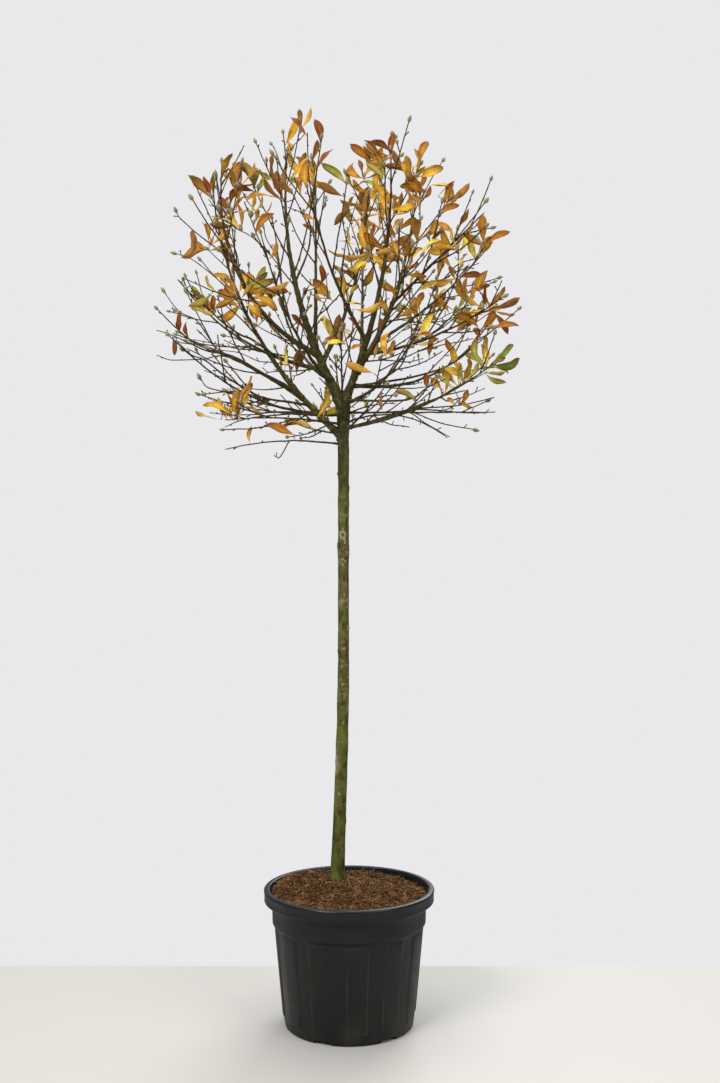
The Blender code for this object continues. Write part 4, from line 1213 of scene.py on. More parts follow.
class Wood:
    # every point of the wood as it is drawn, found again by its place in the photograph
    def __init__(self, curves):
        self.spots = [(point, radius) for curve in curves for point, radius in zip(curve.points, curve.radii)]
        self.tree = kdtree.KDTree(len(self.spots))
        for index, (point, _) in enumerate(self.spots):
            self.tree.insert((*pixelOf(point), point.y * marking["depthWeight"]), index)
        self.tree.balance()

    def nearest(self, x, y, depth):
        _, index, _ = self.tree.find((x, y, depth * marking["depthWeight"]))
        return self.spots[index]


def growMarkedTwigs(curves, dice):
    # each starts on the nearest wood and follows its line to its tip's depth
    look = markedTwigLook
    ends = []
    for tipDepth, silkyEnd, line in markedTwigs:
        rootX, rootY = line[0]
        away = min(1, abs(rootX - look["stemX"]) / look["halfCrown"])
        start, thick = Wood(curves).nearest(rootX, rootY, stem["y"] + (tipDepth - stem["y"]) * away)
        steps = [math.dist(a, b) for a, b in zip(line, line[1:])]
        total, run = sum(steps), 0
        path = [start]
        for step, (x, y) in zip(steps, line[1:]):
            run += step
            path.append(spaceAt(x, y, start.y + (tipDepth - start.y) * (run / total) ** look["depthCurve"]))
        root = min(look["thickest"], look["radius"] + look["thickening"] * pathLength(path), thick)
        radii = tapered(root, look["tip"], len(path) - 1)
        curve = smoothCurve(path, radii, "markedTwig", dice, look["parentRadius"])
        curves.append(curve)
        ends.append((curve, silkyEnd))
    return ends


def pixelLeaf(mark, tint, depth, wood, stalks, dice, faceTurn=0.0):
    # a leaf whose blade covers the mark's line, on the nearest wood of about that depth
    rootX, rootY, tipX, tipY = mark
    spot, _ = wood.nearest(rootX, rootY, depth)
    root = spot
    if math.dist(pixelOf(spot), (rootX, rootY)) > marking["reach"]:
        root = spaceAt(rootX, rootY, spot.y + dice.uniform(-0.01, 0.01))
        bow = Vector((0, 0, -0.06 * (root - spot).length))
        stalks.append(Curve([spot, spot.lerp(root, 0.5) + bow, root], [0.0017, 0.0014, 0.0011]))
    flat = (spaceAt(tipX, tipY, root.y) - spaceAt(rootX, rootY, root.y)) * marking["longer"]
    flat *= min(1, marking["longest"] / flat.length)
    lean = dice.uniform(-marking["lean"], marking["lean"]) * flat.length
    if flat.length < marking["shortest"]:
        lean = math.copysign(math.sqrt(marking["shortest"] ** 2 - flat.length ** 2), lean)
    line = flat + Vector((0, lean, 0))
    heading = line.normalized()
    face = turned(Vector((dice.uniform(-0.3, 0.3), -1, 0.25)), up, faceTurn)
    if dice.random() < marking["turnedOver"]:
        face = -face
    face = (face - heading * face.dot(heading)).normalized()
    curl, roll = dice.uniform(*marking["curls"]), dice.uniform(*marking["rolls"])
    return Leaf(root, heading, face, line.length / leafLook["lengthen"], curl, roll, tint)


def middleOf(leaf):
    return pixelOf(leaf.root + leaf.heading * leaf.length * 0.5)


def besideMark(mark, dice):
    # another mark, a little away from that one and turned from it
    rootX, rootY, tipX, tipY = mark
    angle = math.atan2(tipY - rootY, tipX - rootX)
    angle += math.radians(dice.choice((-1, 1)) * dice.uniform(*besideLook["angles"]))
    length = dice.uniform(*besideLook["lengths"])
    rootX, rootY = rootX + dice.uniform(*besideLook["away"]), rootY + dice.uniform(*besideLook["away"])
    return rootX, rootY, rootX + length * math.cos(angle), rootY + length * math.sin(angle)


def placeMarkedLeaves(curves, grownLeaves, dice):
    # returns the leaves it places, the grown ones that stay, and the short twigs that some need
    left = list(grownLeaves)
    wood = Wood(curves)
    rows = [(tint, mark) for tint, marks in markedLeaves.items() for mark in marks]
    middles = [((mark[0] + mark[2]) / 2, (mark[1] + mark[3]) / 2) for _, mark in rows]
    placed, stalks = [], []
    for (tint, mark), middle in zip(rows, middles):
        best = min(left, key=lambda leaf: math.dist(middleOf(leaf), middle), default=None)
        if best and math.dist(middleOf(best), middle) < marking["adopt"]:
            left.remove(best)
            depth = best.root.y
        else:
            depth = dice.uniform(*marking["depths"])
        placed.append(pixelLeaf(mark, tint, depth, wood, stalks, dice))
    # of the rest, those stay that lie in the photograph's own clumps
    kept = [
        leaf for leaf in left
        if min(math.dist(middleOf(leaf), middle) for middle in middles) < marking["clump"]
    ]
    # and each clump gets a few leaves beside the marked ones
    crowded = [
        row for row, middle in zip(rows, middles)
        if sum(math.dist(middle, other) < marking["crowd"] for other in middles) >= marking["company"]
    ]
    count = len(placed)
    while len(placed) + len(kept) < marking["leaves"]:
        tint, mark = dice.choice(crowded)
        mark = besideMark(mark, dice)
        depth, faceTurn = dice.uniform(*besideLook["depths"]), dice.uniform(*besideLook["faceTurns"])
        placed.append(pixelLeaf(mark, tint, depth, wood, stalks, dice, faceTurn))
    print("leaves:", count, "placed", len(kept), "grown", len(placed) - count, "beside them")
    return placed, kept, stalks


# the crown

# share of the main and of the finer twigs that end in a silky bud, fewer low down in the crown
budding = {
    "silkyShares": (0.85, 0.36), "silkyLow": 0.45, "lowHeights": (1.75, 0.45),
    "silkyLengths": (0.018, 0.025), "silkyGirths": (0.23, 0.28), "silkySink": 0.002,
    "smallLengths": (0.008, 0.012), "smallGirth": 0.19, "smallSink": 0.001,
}
spurLook = {
    "spacing": 0.048, "places": (0.2, 0.8), "angles": (35, 62), "lengths": (0.003, 0.01),
    "buds": (0.006, 0.01), "budGirth": 0.27, "silkyAbove": 1.9, "silkyShare": 0.08,
    "silkyLengths": (0.01, 0.024), "silkySize": 0.9, "silkyGirth": 0.25,
}
skinLook = {
    "boughs": (12, 0.0012, 130), "twigs": (6, 0.0004, 300),  # sides, relief, grain
    "limbRootFade": 0.45, "twigRootFade": 0.5,
    "limbParentRadius": 0.006, "twigParentRadius": 0.002, "innerParentShare": 0.8,
}


def budSpot(tip, aim, sink, girth, length):
    return tip - aim * sink, aim, (girth, girth, length)


class Crown:
    # all that grows, gathered limb by limb
    def __init__(self):
        self.boughs, self.twigs, self.spurs = [], [], []
        self.silky, self.small, self.leaves = [], [], []

    def addSpurs(self, curve, dice):
        look = spurLook
        count = int(pathLength(curve.points) / look["spacing"])
        turn = dice.uniform(0, 360)
        for number in range(count):
            share = (number + dice.uniform(*look["places"])) / count
            turn += growth["goldenAngle"]
            spot, heading = along(curve.points, share)
            way = sideHeading(heading, turn, dice.uniform(*look["angles"]))
            if spot.z > look["silkyAbove"] and dice.random() < look["silkyShare"]:
                # a silky bud on its own short stalk
                tip = spot + (way + up * 0.3).normalized() * dice.uniform(*look["silkyLengths"])
                bow = spot.lerp(tip, 0.5) - up * 0.001
                self.spurs.append(Curve([spot, bow, tip], [0.002, 0.0017, 0.0018]))
                size = dice.uniform(*budding["silkyLengths"]) * look["silkySize"]
                aim = (way + up * 0.9).normalized()
                self.silky.append(budSpot(tip, aim, budding["silkySink"], size * look["silkyGirth"], size))
                continue
            reach = dice.uniform(*look["lengths"])
            tip = spot + (way + up * 0.25).normalized() * (reach + 0.002)
            size = dice.uniform(*look["buds"])
            aim = (way + up * 0.3).normalized()
            girth = size * look["budGirth"]
            if reach > 0.006:
                bow = spot.lerp(tip, 0.5) + heading * 0.0004
                self.spurs.append(Curve([spot, bow, tip], [0.0015, 0.0013, 0.0013]))
                self.small.append(budSpot(tip, aim, budding["smallSink"], girth, size))
            else:
                # it sits on the twig itself
                self.small.append((spot, aim, (girth, girth, size)))

    def addTwig(self, curve, silkyShare, dice):
        # a twig's own bud at its end, and short spurs along it
        end, ahead = endOf(curve)
        if dice.random() < silkyShare:
            size = dice.uniform(*budding["silkyLengths"])
            girth = size * dice.uniform(*budding["silkyGirths"])
            self.silky.append(budSpot(end, ahead, budding["silkySink"], girth, size))
        else:
            size = dice.uniform(*budding["smallLengths"])
            self.small.append(budSpot(end, ahead, budding["smallSink"], size * budding["smallGirth"], size))
        self.addSpurs(curve, dice)

    def addMarkedTwig(self, curve, silkyEnd, dice):
        self.twigs.append(curve)
        end, ahead = endOf(curve)
        if silkyEnd:
            self.silky.append(budSpot(end, ahead, budding["silkySink"], *markedTwigLook["silkyBud"]))
        else:
            self.small.append(budSpot(end, ahead, budding["smallSink"], *markedTwigLook["smallBud"]))
        self.addSpurs(curve, dice)


def limbLines():
    # every limb's path, its own stem beyond the bough, and the wood that growth keeps clear of
    paths, stems = {}, {}
    heights = stemHeights()
    wood = [([stemPoint(height) for height in heights], [stemRadius(height) for height in heights])]
    for limb in limbs:
        path = paths[limb.name] = limbPath(limb, paths)
        first = boughSteps(limb)
        stems[limb.name] = path[first:]
        if first:
            ahead = (path[first + 1] - path[first - 1]).normalized()
            stems[limb.name] = [path[first] + ahead * growth["gap"]] + path[first + 1:]
            wood.append((path[:first + 1], limbRadii(limb)[:first + 1]))
    return paths, stems, wood


def drawLimb(limb, path, limbCurves, dice):
    # one curve from its parent to its tip; its bough and its stem are the two ends of it
    parentRadius = stemRadius(limb.start) if limb.parent == "trunk" else skinLook["limbParentRadius"]
    whole = smoothCurve(path, limbRadii(limb), "limb", dice, parentRadius)
    if limb.parent != "trunk":
        spot = min(limbCurves[limb.parent].points, key=lambda point: (point - whole.points[0]).length)
        rootOn(whole, spot, skinLook["limbRootFade"])
    limbCurves[limb.name] = whole
    cut = round(boughSteps(limb) / growth["limbSteps"] * (len(whole.points) - 1))
    bough = Curve(whole.points[:cut + 1], whole.radii[:cut + 1]) if cut else None
    return bough, Curve(whole.points[cut:], whole.radii[cut:])


def drawShoot(shoot, parent, share, parentRadius, dice):
    curve = smoothCurve(shoot.path, shoot.radii, "shoot", dice, parentRadius)
    rootOn(curve, along(parent.points, share)[0], skinLook["twigRootFade"])
    return curve


def growLimb(limb, lines, crown, limbCurves):
    paths, stems, wood = lines
    space = Space(limb.name, stems, wood)
    dice = random.Random(limb.name)
    touches = random.Random(limb.name + " touches")
    first = boughSteps(limb)
    leaves = []
    shoots, rooted = growShoots(limb, Shoot(stems[limb.name], limbRadii(limb)[first:]), space, dice)
    leafRoots = growLeaves(limb, shoots, space, dice, limb.leaves, leaves)
    mainShoots = len(shoots)
    growFiner(limb, shoots, rooted, space)
    bough, own = drawLimb(limb, paths[limb.name], limbCurves, touches)
    inner = []
    if bough:
        crown.boughs.append(bough)
        innerRadius = limb.radius * skinLook["innerParentShare"]
        for share, shoot in growInner(limb, paths[limb.name][:first + 1], wood):
            inner.append(drawShoot(shoot, bough, share, innerRadius, touches))
    curves = [own]
    for shoot, (parent, share) in zip(shoots[1:], rooted[1:]):
        curves.append(drawShoot(shoot, curves[parent], share, skinLook["twigParentRadius"], touches))
    crown.twigs += curves + inner
    for index, curve in enumerate(curves + inner):
        # the upper twigs carry more silky buds than the low ones
        low, rise = budding["lowHeights"]
        lift = min(1, max(0, (curve.points[-1].z - low) / rise))
        share = budding["silkyShares"][index >= mainShoots]
        crown.addTwig(curve, share * (budding["silkyLow"] + (1 - budding["silkyLow"]) * lift), touches)
    if limb.name in extraLeaves:
        more = random.Random(limb.name + " more leaves")
        wanted = round(limb.leaves * extraLeaves[limb.name])
        leafRoots += growLeaves(limb, shoots, space, more, wanted, leaves)
    for leaf, (index, share) in zip(leaves, leafRoots):
        crown.leaves.append(leaf._replace(root=along(curves[index].points, share)[0]))


def growCrown():
    crown, limbCurves = Crown(), {}
    lines = limbLines()
    for limb in limbs:
        growLimb(limb, lines, crown, limbCurves)
    # the twigs and leaves that the photograph places
    dice = random.Random("marks")
    forkAxis = Curve([stemPoint(1.6 + 0.01 * step) for step in range(19)], [0.016] * 19)
    everything = crown.boughs + crown.twigs + [forkAxis]
    for curve, silkyEnd in growMarkedTwigs(everything, dice):
        crown.addMarkedTwig(curve, silkyEnd, dice)
    placed, left, stalks = placeMarkedLeaves(everything, crown.leaves, dice)
    foliage = {tint: Foliage() for tint in leafTints}
    for leaf in placed + left:
        foliage[leaf.tint].add(leaf, dice)
    for leaf in placed:
        if dice.random() < marking["budAtRoot"]:
            stray = Vector((dice.uniform(-0.4, 0.4), dice.uniform(-0.4, 0.4), 0))
            ahead = (leaf.heading + up * 0.6 + stray).normalized()
            size = dice.uniform(*budding["silkyLengths"])
            girth = size * spurLook["silkyGirth"]
            crown.silky.append(budSpot(leaf.root, ahead, budding["silkySink"], girth, size))
    crown.spurs += stalks
    print("crown grown:", len(crown.twigs), "twigs", len(placed) + len(left), "leaves",
          len(crown.silky), "silky buds", len(crown.small), "small buds")
    return crown, foliage


def budShape(name, rows, sides, belly, hook):
    # a pointed bud one unit long and one unit in radius, widest at its belly
    points, faces = [Vector((0, 0, 0))], []
    for row in range(1, rows):
        height = row / rows
        if height < belly:
            radius = (height / belly) ** 0.65
        else:
            radius = 1 - ((height - belly) / (1 - belly)) ** 1.7
        lean = Vector((hook * height * height, 0, 0))
        for side in range(sides):
            seam = 1 - 0.06 * math.cos(2 * math.tau * side / sides)
            points.append(polar(min(max(radius, 0.05), 1) * seam, 360 * side / sides, height) + lean)
    points.append(Vector((hook, 0, 1)))
    last = 1 + (rows - 2) * sides
    for side in range(sides):
        after = (side + 1) % sides
        faces.append((0, 1 + after, 1 + side))
        for a in range(1, last, sides):
            faces.append((a + side, a + after, a + sides + after, a + sides + side))
        faces.append((last + side, last + after, len(points) - 1))
    return newObject(name, points, faces)


def makeCrown(skin, plant):
    crown, foliage = growCrown()
    bark = limbBark("bough bark", barkLook["limb"], barkLook["twig"])
    settle(skinned("bough_bark", crown.boughs, *skinLook["boughs"], bark, skin), "bark", *boughNodes)
    bark = limbBark("twig bark", barkLook["limb"], barkLook["twig"])
    settle(skinned("twigs", crown.twigs + crown.spurs, *skinLook["twigs"], bark, skin), "bark", *foliageNodes)
    silky, small = budShape("bud shape", **budLook["silky"]), budShape("small bud shape", **budLook["small"])
    made = planted("silky_buds", silky, crown.silky, budLook["silkySeed"], budMaterial(), plant)
    settle(made, "gold_foliage", *foliageNodes)
    scales = limbBark("bud scales", barkLook["twigTip"], barkLook["twigTip"])
    made = planted("small_buds", small, crown.small, budLook["smallSeed"], scales, plant)
    settle(made, "bark", *foliageNodes)
    discard(silky, small)
    for tint, leaves in foliage.items():
        if leaves.points:
            blade, rib, slot = leafTints[tint]
            settle(leaves.make(tint + "_leaves", leafMaterial(tint, blade, rib)), slot, *foliageNodes)


# pot and soil

potShape = {
    "height": 0.385, "rimRadius": 0.243, "rimDepth": 0.035, "rimWidth": 0.017, "collarRadius": 0.22,
    "collarBottom": 0.288, "collarTop": 0.315, "bodyTop": 0.2105, "foot": 0.184, "wall": 0.003,
    "floor": 0.012, "footRound": 0.006, "collarRound": 0.003, "rimUnderRound": 0.003, "rimRound": 0.006,
    "lipRound": 0.004, "sharpEdge": 38,
}
# twelve raised panels round the body; degrees across, metres up and out
panels = {
    "count": 12, "first": 7.0, "half": 8.0, "edge": 0.9, "bevel": 0.6, "flat": 3.5, "beside": 2,
    "proud": 0.003, "top": 0.279, "bottom": 0.034, "rows": 8,
}
# shallow arched notches in the rim of the foot
notches = {
    "count": 6, "first": 37.0, "half": 0.026, "archHalf": 0.022, "side": 0.004, "arch": 0.0105, "sag": 0.002,
    "steps": 6, "inward": 0.026, "outward": 0.01,
}
potColours = {
    "black": (0.005, 0.0054, 0.0048), "dusty": (0.0105, 0.011, 0.0092), "scuffed": (0.06, 0.06, 0.056),
    # the rim's cooler grey is a painted sheen, and the paler edge colour a painted highlight
    "rim": (0.0065, 0.0075, 0.01), "rubbed": (0.075, 0.078, 0.07), "splashed": (0.06, 0.055, 0.045),
}


def bodyRadius(height):
    return potShape["foot"] + (potShape["bodyTop"] - potShape["foot"]) * height / potShape["collarBottom"]


def innerRadius(height):
    middle = bodyRadius(potShape["collarBottom"]) - potShape["wall"]
    if height > potShape["collarBottom"]:
        share = (height - potShape["collarBottom"]) / (potShape["height"] - potShape["collarBottom"])
        return middle + (potShape["rimRadius"] - potShape["rimWidth"] - middle) * share
    share = (height - potShape["floor"]) / (potShape["collarBottom"] - potShape["floor"])
    return potShape["foot"] - potShape["wall"] + (middle - potShape["foot"] + potShape["wall"]) * share


def arc(radius, height, size, start, end, steps):
    # a quarter round or so of the profile, from one angle to another
    turns = [math.radians(start + (end - start) * step / steps) for step in range(steps + 1)]
    return [(radius + size * math.cos(turn), height + size * math.sin(turn), 0) for turn in turns]


def onBody(height, raised=0):
    return bodyRadius(height), height, raised


def onInside(height):
    return innerRadius(height), height, 0


def potProfile():
    # radius, height and how much of a panel's height stands there, from the foot over the rim to the floor
    pot = potShape
    foot, collar, rim, lip = pot["foot"], pot["collarRadius"], pot["rimRadius"], pot["lipRound"]
    low, rimLow = pot["collarBottom"], pot["height"] - pot["rimDepth"]
    bottom, top = panels["bottom"], panels["top"]
    rows = [(foot - 0.03, 0, 0), (foot - 0.009, 0, 0)]
    rows += arc(foot - pot["footRound"], pot["footRound"], pot["footRound"], -80, 0, 4)
    # the body and its panels
    rows += [onBody(bottom - 0.006), onBody(bottom - 0.003), onBody(bottom, 0.9), onBody(bottom + 0.002, 1)]
    rows += [onBody(bottom + (top - bottom) * step / panels["rows"], 1) for step in range(1, panels["rows"])]
    rows += [onBody(top - 0.008, 1), onBody(top - 0.0058, 0.9), onBody(top + 0.0008)]
    # the collar
    rows += [(bodyRadius(low), low - 0.006, 0)]
    rows += arc(collar - 0.0045, low + 0.0032, pot["collarRound"], -70, 0, 4)
    rows += [(collar - 0.001, pot["collarTop"], 0), (collar, rimLow - 0.004, 0)]
    # the rim, from below
    rows += [(collar + 0.0015, rimLow - 0.0006, 0), (collar + 0.004, rimLow, 0), (rim - 0.0065, rimLow, 0)]
    rows += arc(rim - 0.0042, rimLow + 0.003, pot["rimUnderRound"], -80, 10, 4)
    rows += [(rim - 0.0018, rimLow + 0.008, 0), (rim - 0.0012, rimLow + 0.022, 0)]
    rows += arc(rim - pot["rimRound"], pot["height"] - pot["rimRound"], pot["rimRound"], 0, 90, 7)
    rows += arc(rim - pot["rimWidth"] + lip, pot["height"] - lip, lip, 90, 180, 4)
    return rows + [onInside(rimLow), onInside(low), onInside(pot["floor"])]


def potAngles():
    # every panel's edges, and a few steps over and between the panels, with how far out each stands
    pitch, half, edge = 360 / panels["count"], panels["half"], panels["edge"]
    bevel, flat, beside = panels["bevel"], panels["flat"], panels["beside"]
    steps = [(-half - edge, 0), (-half, 0.9), (-half + bevel, 1), (-half + flat, 1), (0, 1)]
    steps += [(half - flat, 1), (half - bevel, 1), (half, 0.9), (half + edge, 0)]
    steps += [(half + edge + beside, 0), (pitch / 2, 0), (pitch - half - edge - beside, 0)]
    return [(panels["first"] - 90 + pitch * panel + place, raised)
            for panel in range(panels["count"]) for place, raised in steps]


def potMaterial():
    pot = Finish("black moulded plastic", 0.42, Specular_IOR_Level=0.26)
    dust = pot.patches(9, 5, 0.42, 0.7, (1, 1, 0.6))
    scuffs = pot.patches(60, 4, 0.6, 0.74, (1, 1, 3.0))
    pot.colour = pot.mix(pot.times(dust, 0.6), potColours["black"], potColours["dusty"])
    pot.lay(potColours["scuffed"], scuffs, 0.16)
    # painted reflection: the rim is laid a lighter, bluer grey for a cool sheen
    pot.lay(potColours["rim"], pot.attribute("rim"))
    # painted highlight: the panels' edges are laid paler, as if their raised step caught the light
    pot.lay(potColours["rubbed"], pot.times(pot.attribute("rubbed"), pot.patches(5, 2, 0.44, 0.66)), 0.45)
    pot.lay(potColours["splashed"], pot.times(pot.mask(pot.height(), 0.09, 0.0), dust), 0.4)
    # dust is rougher than the moulded plastic, and the rim is smoother
    rough = pot.reckon("MULTIPLY_ADD", dust, 0.14, 0.4)
    rough = pot.reckon("ADD", rough, pot.times(scuffs, 0.12))
    rough = pot.reckon("ADD", rough, pot.times(pot.attribute("rim"), -0.14))
    feed(pot.tree, pot.shader.inputs["Roughness"], rough)
    return pot.bumped(pot.cloud(900, 3), 0.00025, 0.35)


def notchCutter(number):
    look = notches
    angle = look["first"] - 90 + 360 * number / look["count"]
    arch = [
        (-look["archHalf"] + 2 * look["archHalf"] * step / look["steps"],
         look["arch"] - look["sag"] * abs(2 * step / look["steps"] - 1) ** 2)
        for step in range(look["steps"] + 1)
    ]
    half, side = look["half"], look["side"]
    outline = [(-half, -side), (-half, side)] + arch + [(half, side), (half, -side)]
    across = polar(1, angle + 90)
    ends = [polar(potShape["foot"] - look["inward"], angle), polar(potShape["foot"] + look["outward"], angle)]
    ring = [end + across * x + up * z for end in ends for x, z in outline]
    count = len(outline)
    faces = ringFaces(2, count) + [tuple(reversed(range(count))), tuple(range(count, 2 * count))]
    cutter = newObject(f"notch {number + 1}", ring, faces)
    shape = bmesh.new()
    shape.from_mesh(cutter.data)
    bmesh.ops.recalc_face_normals(shape, faces=shape.faces)
    shape.to_mesh(cutter.data)
    shape.free()
    return cutter


def makePot():
    rows, angles = potProfile(), potAngles()
    points = [
        polar(radius + panels["proud"] * share * raised, angle, height)
        for radius, height, share in rows for angle, raised in angles
    ]
    under, inside = len(points), len(points) + 1
    points += [Vector((0, 0, 0)), Vector((0, 0, potShape["floor"]))]
    faces = ringFaces(len(rows), len(angles)) + endFaces(len(rows), len(angles), under, inside)
    pot = newObject("pot_body", points, faces)
    # the panels' edges get a painted highlight, and the rim a painted cool sheen; the rim is also smoother
    # than the rest
    edges = [
        1.0 if share and raised and (raised < 1 or share < 1) else 0.0
        for _, _, share in rows for _, raised in angles
    ]
    rimLow = potShape["height"] - potShape["rimDepth"]
    rim = [1.0 if height > rimLow else 0.0 for _, height, _ in rows for _ in angles]
    addAttribute(pot.data, "rubbed", edges + [0.0, 0.0])
    addAttribute(pot.data, "rim", rim + [0.0, 0.0])
    cutters = [notchCutter(number) for number in range(notches["count"])]
    for cutter in cutters:
        cut = pot.modifiers.new(cutter.name, "BOOLEAN")
        cut.operation = "DIFFERENCE"
        cut.object = cutter
    made = linked("nursery_pot", evaluatedMesh(pot))
    discard(pot, *cutters)
    made.data.materials.clear()
    finished(made, potMaterial())
    made.data.set_sharp_from_angle(angle=math.radians(potShape["sharpEdge"]))
    settle(made, "pot", "pot")


soilShape = {
    "edge": 0.366, "top": 0.39, "highest": 0.397, "rings": 46, "sides": 168, "gap": 0.00045,
    "lumps": 0.006, "lumpsAMetre": 28, "grain": 0.0036, "grainsAMetre": 95,
    "heap": (-0.15, 0.06, 0.085, 0.016),  # x, y, half width, height
}
# darkest, palest, grain
coirColours = {
    "coir and peat": ((0.026, 0.012, 0.0045), (0.15, 0.07, 0.024), 150),
    "pale coir": ((0.17, 0.083, 0.03), (0.4, 0.24, 0.11), 120),
    "dark coir": ((0.028, 0.012, 0.005), (0.15, 0.07, 0.026), 150),
}
# loose fibres and crumbs on the soil; steep is how far they stand up
litter = {
    "pale_strands": {"shape": "strand", "finish": "pale coir", "count": 1700, "seed": 21,
                     "sizes": (0.012, 0.038), "steep": 0.35, "lift": 0.0024},
    "dark_strands": {"shape": "strand", "finish": "dark coir", "count": 2000, "seed": 22,
                     "sizes": (0.012, 0.034), "steep": 0.4, "lift": 0.0022},
    "coir_crumbs": {"shape": "crumb", "finish": "dark coir", "count": 1700, "seed": 23,
                    "sizes": (0.005, 0.015), "steep": 0.6, "lift": 0.0015},
    "pale_crumbs": {"shape": "crumb", "finish": "pale coir", "count": 500, "seed": 24,
                    "sizes": (0.003, 0.008), "steep": 0.6, "lift": 0.0018},
}


def coirMaterial(name):
    dark, light, scale = coirColours[name]
    coir = Finish(name, 0.95, Specular_IOR_Level=0.1)
    coir.colour = coir.mix(coir.patches(scale, 4, 0.34, 0.66), dark, light)
    coir.lay(shaded(dark, (0.6, 0.6, 0.6)), coir.patches(16, 3, 0.4, 0.62), 0.55)
    return coir.bumped(coir.cloud(scale * 2.2, 5), 0.0025, 0.8)


def soilHeight(x, y):
    foot = stemPoint(stem["soilTop"])
    edge = innerRadius(soilShape["edge"])
    share = 1 - min(1, math.hypot(x - foot.x * 0.7, y - foot.y * 0.7) / (edge * 0.95))
    height = soilShape["edge"]
    height += (soilShape["top"] - soilShape["edge"] - 0.002) * math.sin(share * math.pi / 2)
    heapX, heapY, half, rise = soilShape["heap"]
    height += rise * math.exp(-((x - heapX) ** 2 + (y - heapY) ** 2) / half ** 2)
    lumps, grains = soilShape["lumpsAMetre"], soilShape["grainsAMetre"]
    height += soilShape["lumps"] * noise.noise(Vector((x * lumps, y * lumps, 1.7)))
    height += soilShape["grain"] * noise.fractal(Vector((x * grains, y * grains, 4.2)), 0.8, 2, 4)
    return height


def makeSoil():
    sides, rings, gap = soilShape["sides"], soilShape["rings"], soilShape["gap"]
    bottom = potShape["floor"] + growth["gap"]
    points = []
    for height in (bottom, potShape["collarBottom"], soilShape["edge"] - 0.004):
        points += [polar(innerRadius(height) - gap, 360 * side / sides, height) for side in range(sides)]
    edge = innerRadius(soilShape["edge"]) - gap
    for ring in range(rings):
        drop = 0.003 * math.exp(-ring * 0.8)
        for side in range(sides):
            spot = polar(edge * (1 - ring / rings), 360 * side / sides)
            spot.z = min(soilHeight(spot.x, spot.y) - drop, soilShape["highest"])
            points.append(spot)
    under, middle = len(points), len(points) + 1
    points += [Vector((0, 0, bottom)), Vector((0, 0, soilHeight(0, 0)))]
    faces = ringFaces(3 + rings, sides) + endFaces(3 + rings, sides, under, middle)
    made = newObject("coir_soil", points, faces)
    settle(finished(made, coirMaterial("coir and peat")), "soil", "soil")


def scatterSpots(look):
    # loose bits lying on the soil, flat or half buried
    dice = random.Random(look["seed"])
    edge = innerRadius(soilShape["edge"]) - 0.01
    foot = stemPoint(stem["soilTop"])
    spots = []
    while len(spots) < look["count"]:
        x, y = dice.uniform(-edge, edge), dice.uniform(-edge, edge)
        if math.hypot(x, y) > edge or math.hypot(x - foot.x, y - foot.y) < 0.028:
            continue
        size = dice.uniform(*look["sizes"])
        aim = Vector((dice.gauss(0, 1), dice.gauss(0, 1), dice.gauss(0, look["steep"]))).normalized()
        height = soilHeight(x, y) + look["lift"] * dice.uniform(-0.4, 1)
        spots.append((Vector((x, y, height)), aim, (size, size, size)))
    return spots


def strandShape():
    # a curved three-sided fibre one unit long
    rows, sides, points = 5, 3, []
    for row in range(rows + 1):
        share = row / rows
        centre = Vector((0.16 * math.sin(share * 3.1), 0.07 * math.sin(share * 6.0), share - 0.5))
        points += [centre + polar(0.03 * (1 - 0.5 * abs(share - 0.5)), 120 * side) for side in range(sides)]
    last = rows * sides
    faces = ringFaces(rows + 1, sides) + [(2, 1, 0), (last, last + 1, last + 2)]
    return newObject("strand shape", points, faces)


def crumbShape():
    shape = bmesh.new()
    bmesh.ops.create_icosphere(shape, subdivisions=1, radius=0.5)
    for vert in shape.verts:
        vert.co *= 0.75 + 0.45 * noise.noise(vert.co * 4)
        vert.co.z *= 1.5
        vert.co.x *= 0.7
    mesh = bpy.data.meshes.new("crumb shape")
    shape.to_mesh(mesh)
    shape.free()
    return linked("crumb shape", mesh)


def makeLitter(plant):
    shapes = {"strand": strandShape(), "crumb": crumbShape()}
    finishes = {name: coirMaterial(name) for name in ("pale coir", "dark coir")}
    for name, look in litter.items():
        shape, finish = shapes[look["shape"]], finishes[look["finish"]]
        settle(planted(name, shape, scatterSpots(look), look["seed"], finish, plant), "soil", "soil")
    discard(*shapes.values())


# floor, light and camera

studio = {
    "floorBack": 0.47, "floorFront": -2.6, "floorHalf": 2.4, "floorColour": (0.49, 0.478, 0.452),
    "floorMottle": 0.985, "worldColour": (0.815, 0.815, 0.835), "behind": 1.0, "around": 0.38,
}
Lamp = collections.namedtuple("Lamp", "place target size power colour")
lamps = {
    "key": Lamp((-2.2, -3.0, 3.6), (0, 0, 1.2), (1.8, 1.8), 165, (1, 0.985, 0.95)),
    "back": Lamp((1.4, 3.4, 3.2), (0, 0, 1.4), (2.6, 2.6), 120, (1, 1, 1)),
    "fill": Lamp((2.6, -2.4, 2.4), (0, 0, 1.2), (2.0, 2.4), 50, (1, 1, 1)),
    "overhead": Lamp((0, 0.6, 4.6), (0, 0.6, 1.5), (4.5, 4.5), 170, (1, 1, 1)),
}


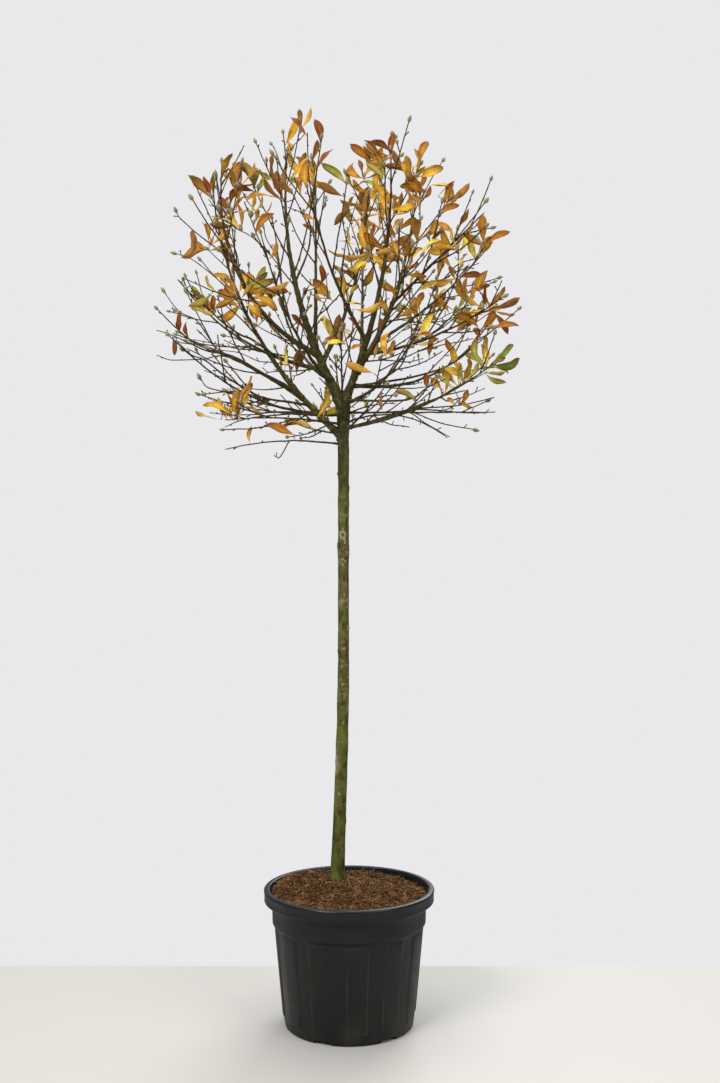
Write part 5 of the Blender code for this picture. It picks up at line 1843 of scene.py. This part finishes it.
def makeFloor():
    half, front, back = studio["floorHalf"], studio["floorFront"], studio["floorBack"]
    corners = [(-half, front, 0), (half, front, 0), (half, back, 0), (-half, back, 0)]
    floor = newObject("floor", corners, [(0, 1, 2, 3)])
    pale = Finish("pale floor", 0.55, Specular_IOR_Level=0.2)
    mottled = shaded(studio["floorColour"], [studio["floorMottle"]] * 3)
    pale.colour = pale.mix(pale.cloud(3, 2), mottled, studio["floorColour"])
    floor.data.materials.append(pale.done())


def makeLamp(name, lamp):
    data = bpy.data.lights.new(name, "AREA")
    data.shape = "RECTANGLE"
    data.size, data.size_y = lamp.size
    data.energy = lamp.power
    data.color = lamp.colour
    made = linked(name, data)
    made.location = lamp.place
    made.rotation_euler = (Vector(lamp.target) - Vector(lamp.place)).to_track_quat("-Z", "Y").to_euler()
    made.visible_camera = False


def makeStudio():
    makeFloor()
    world = bpy.data.worlds.new("studio")
    bpy.context.scene.world = world
    world.use_nodes = True
    # an even bright backdrop behind the tree, and a dimmer light round it
    tree = world.node_tree
    tree.nodes.remove(tree.nodes["Background"])
    colour = studio["worldColour"]
    behind = newNode(tree, "ShaderNodeBackground", {"Color": colour, "Strength": studio["behind"]})
    around = newNode(tree, "ShaderNodeBackground", {"Color": colour, "Strength": studio["around"]})
    seen = newNode(tree, "ShaderNodeLightPath").outputs["Is Camera Ray"]
    both = newNode(tree, "ShaderNodeMixShader", {0: seen, 1: around.outputs[0], 2: behind.outputs[0]})
    feed(tree, tree.nodes["World Output"].inputs["Surface"], both.outputs[0])
    for name, lamp in lamps.items():
        makeLamp(name, lamp)
    display = bpy.context.scene.view_settings
    display.view_transform = "Standard"
    display.look = "None"
    display.exposure = 0


def makeCamera():
    data = bpy.data.cameras.new("photo view")
    data.sensor_fit = "AUTO"
    data.sensor_width = view["sensor"]
    data.lens = view["sensor"] * view["focal"] / view["height"]
    data.clip_end = 60
    camera = linked("photo view", data)
    camera.location = (view["x"], view["y"], view["z"])
    camera.rotation_euler = (math.pi / 2, 0, 0)
    bpy.context.scene.camera = camera


skin, plant = skinTree(), plantedTree()
makeStem(stemBark())
makeCrown(skin, plant)
makePot()
makeSoil()
makeLitter(plant)
makeStudio()
makeCamera()
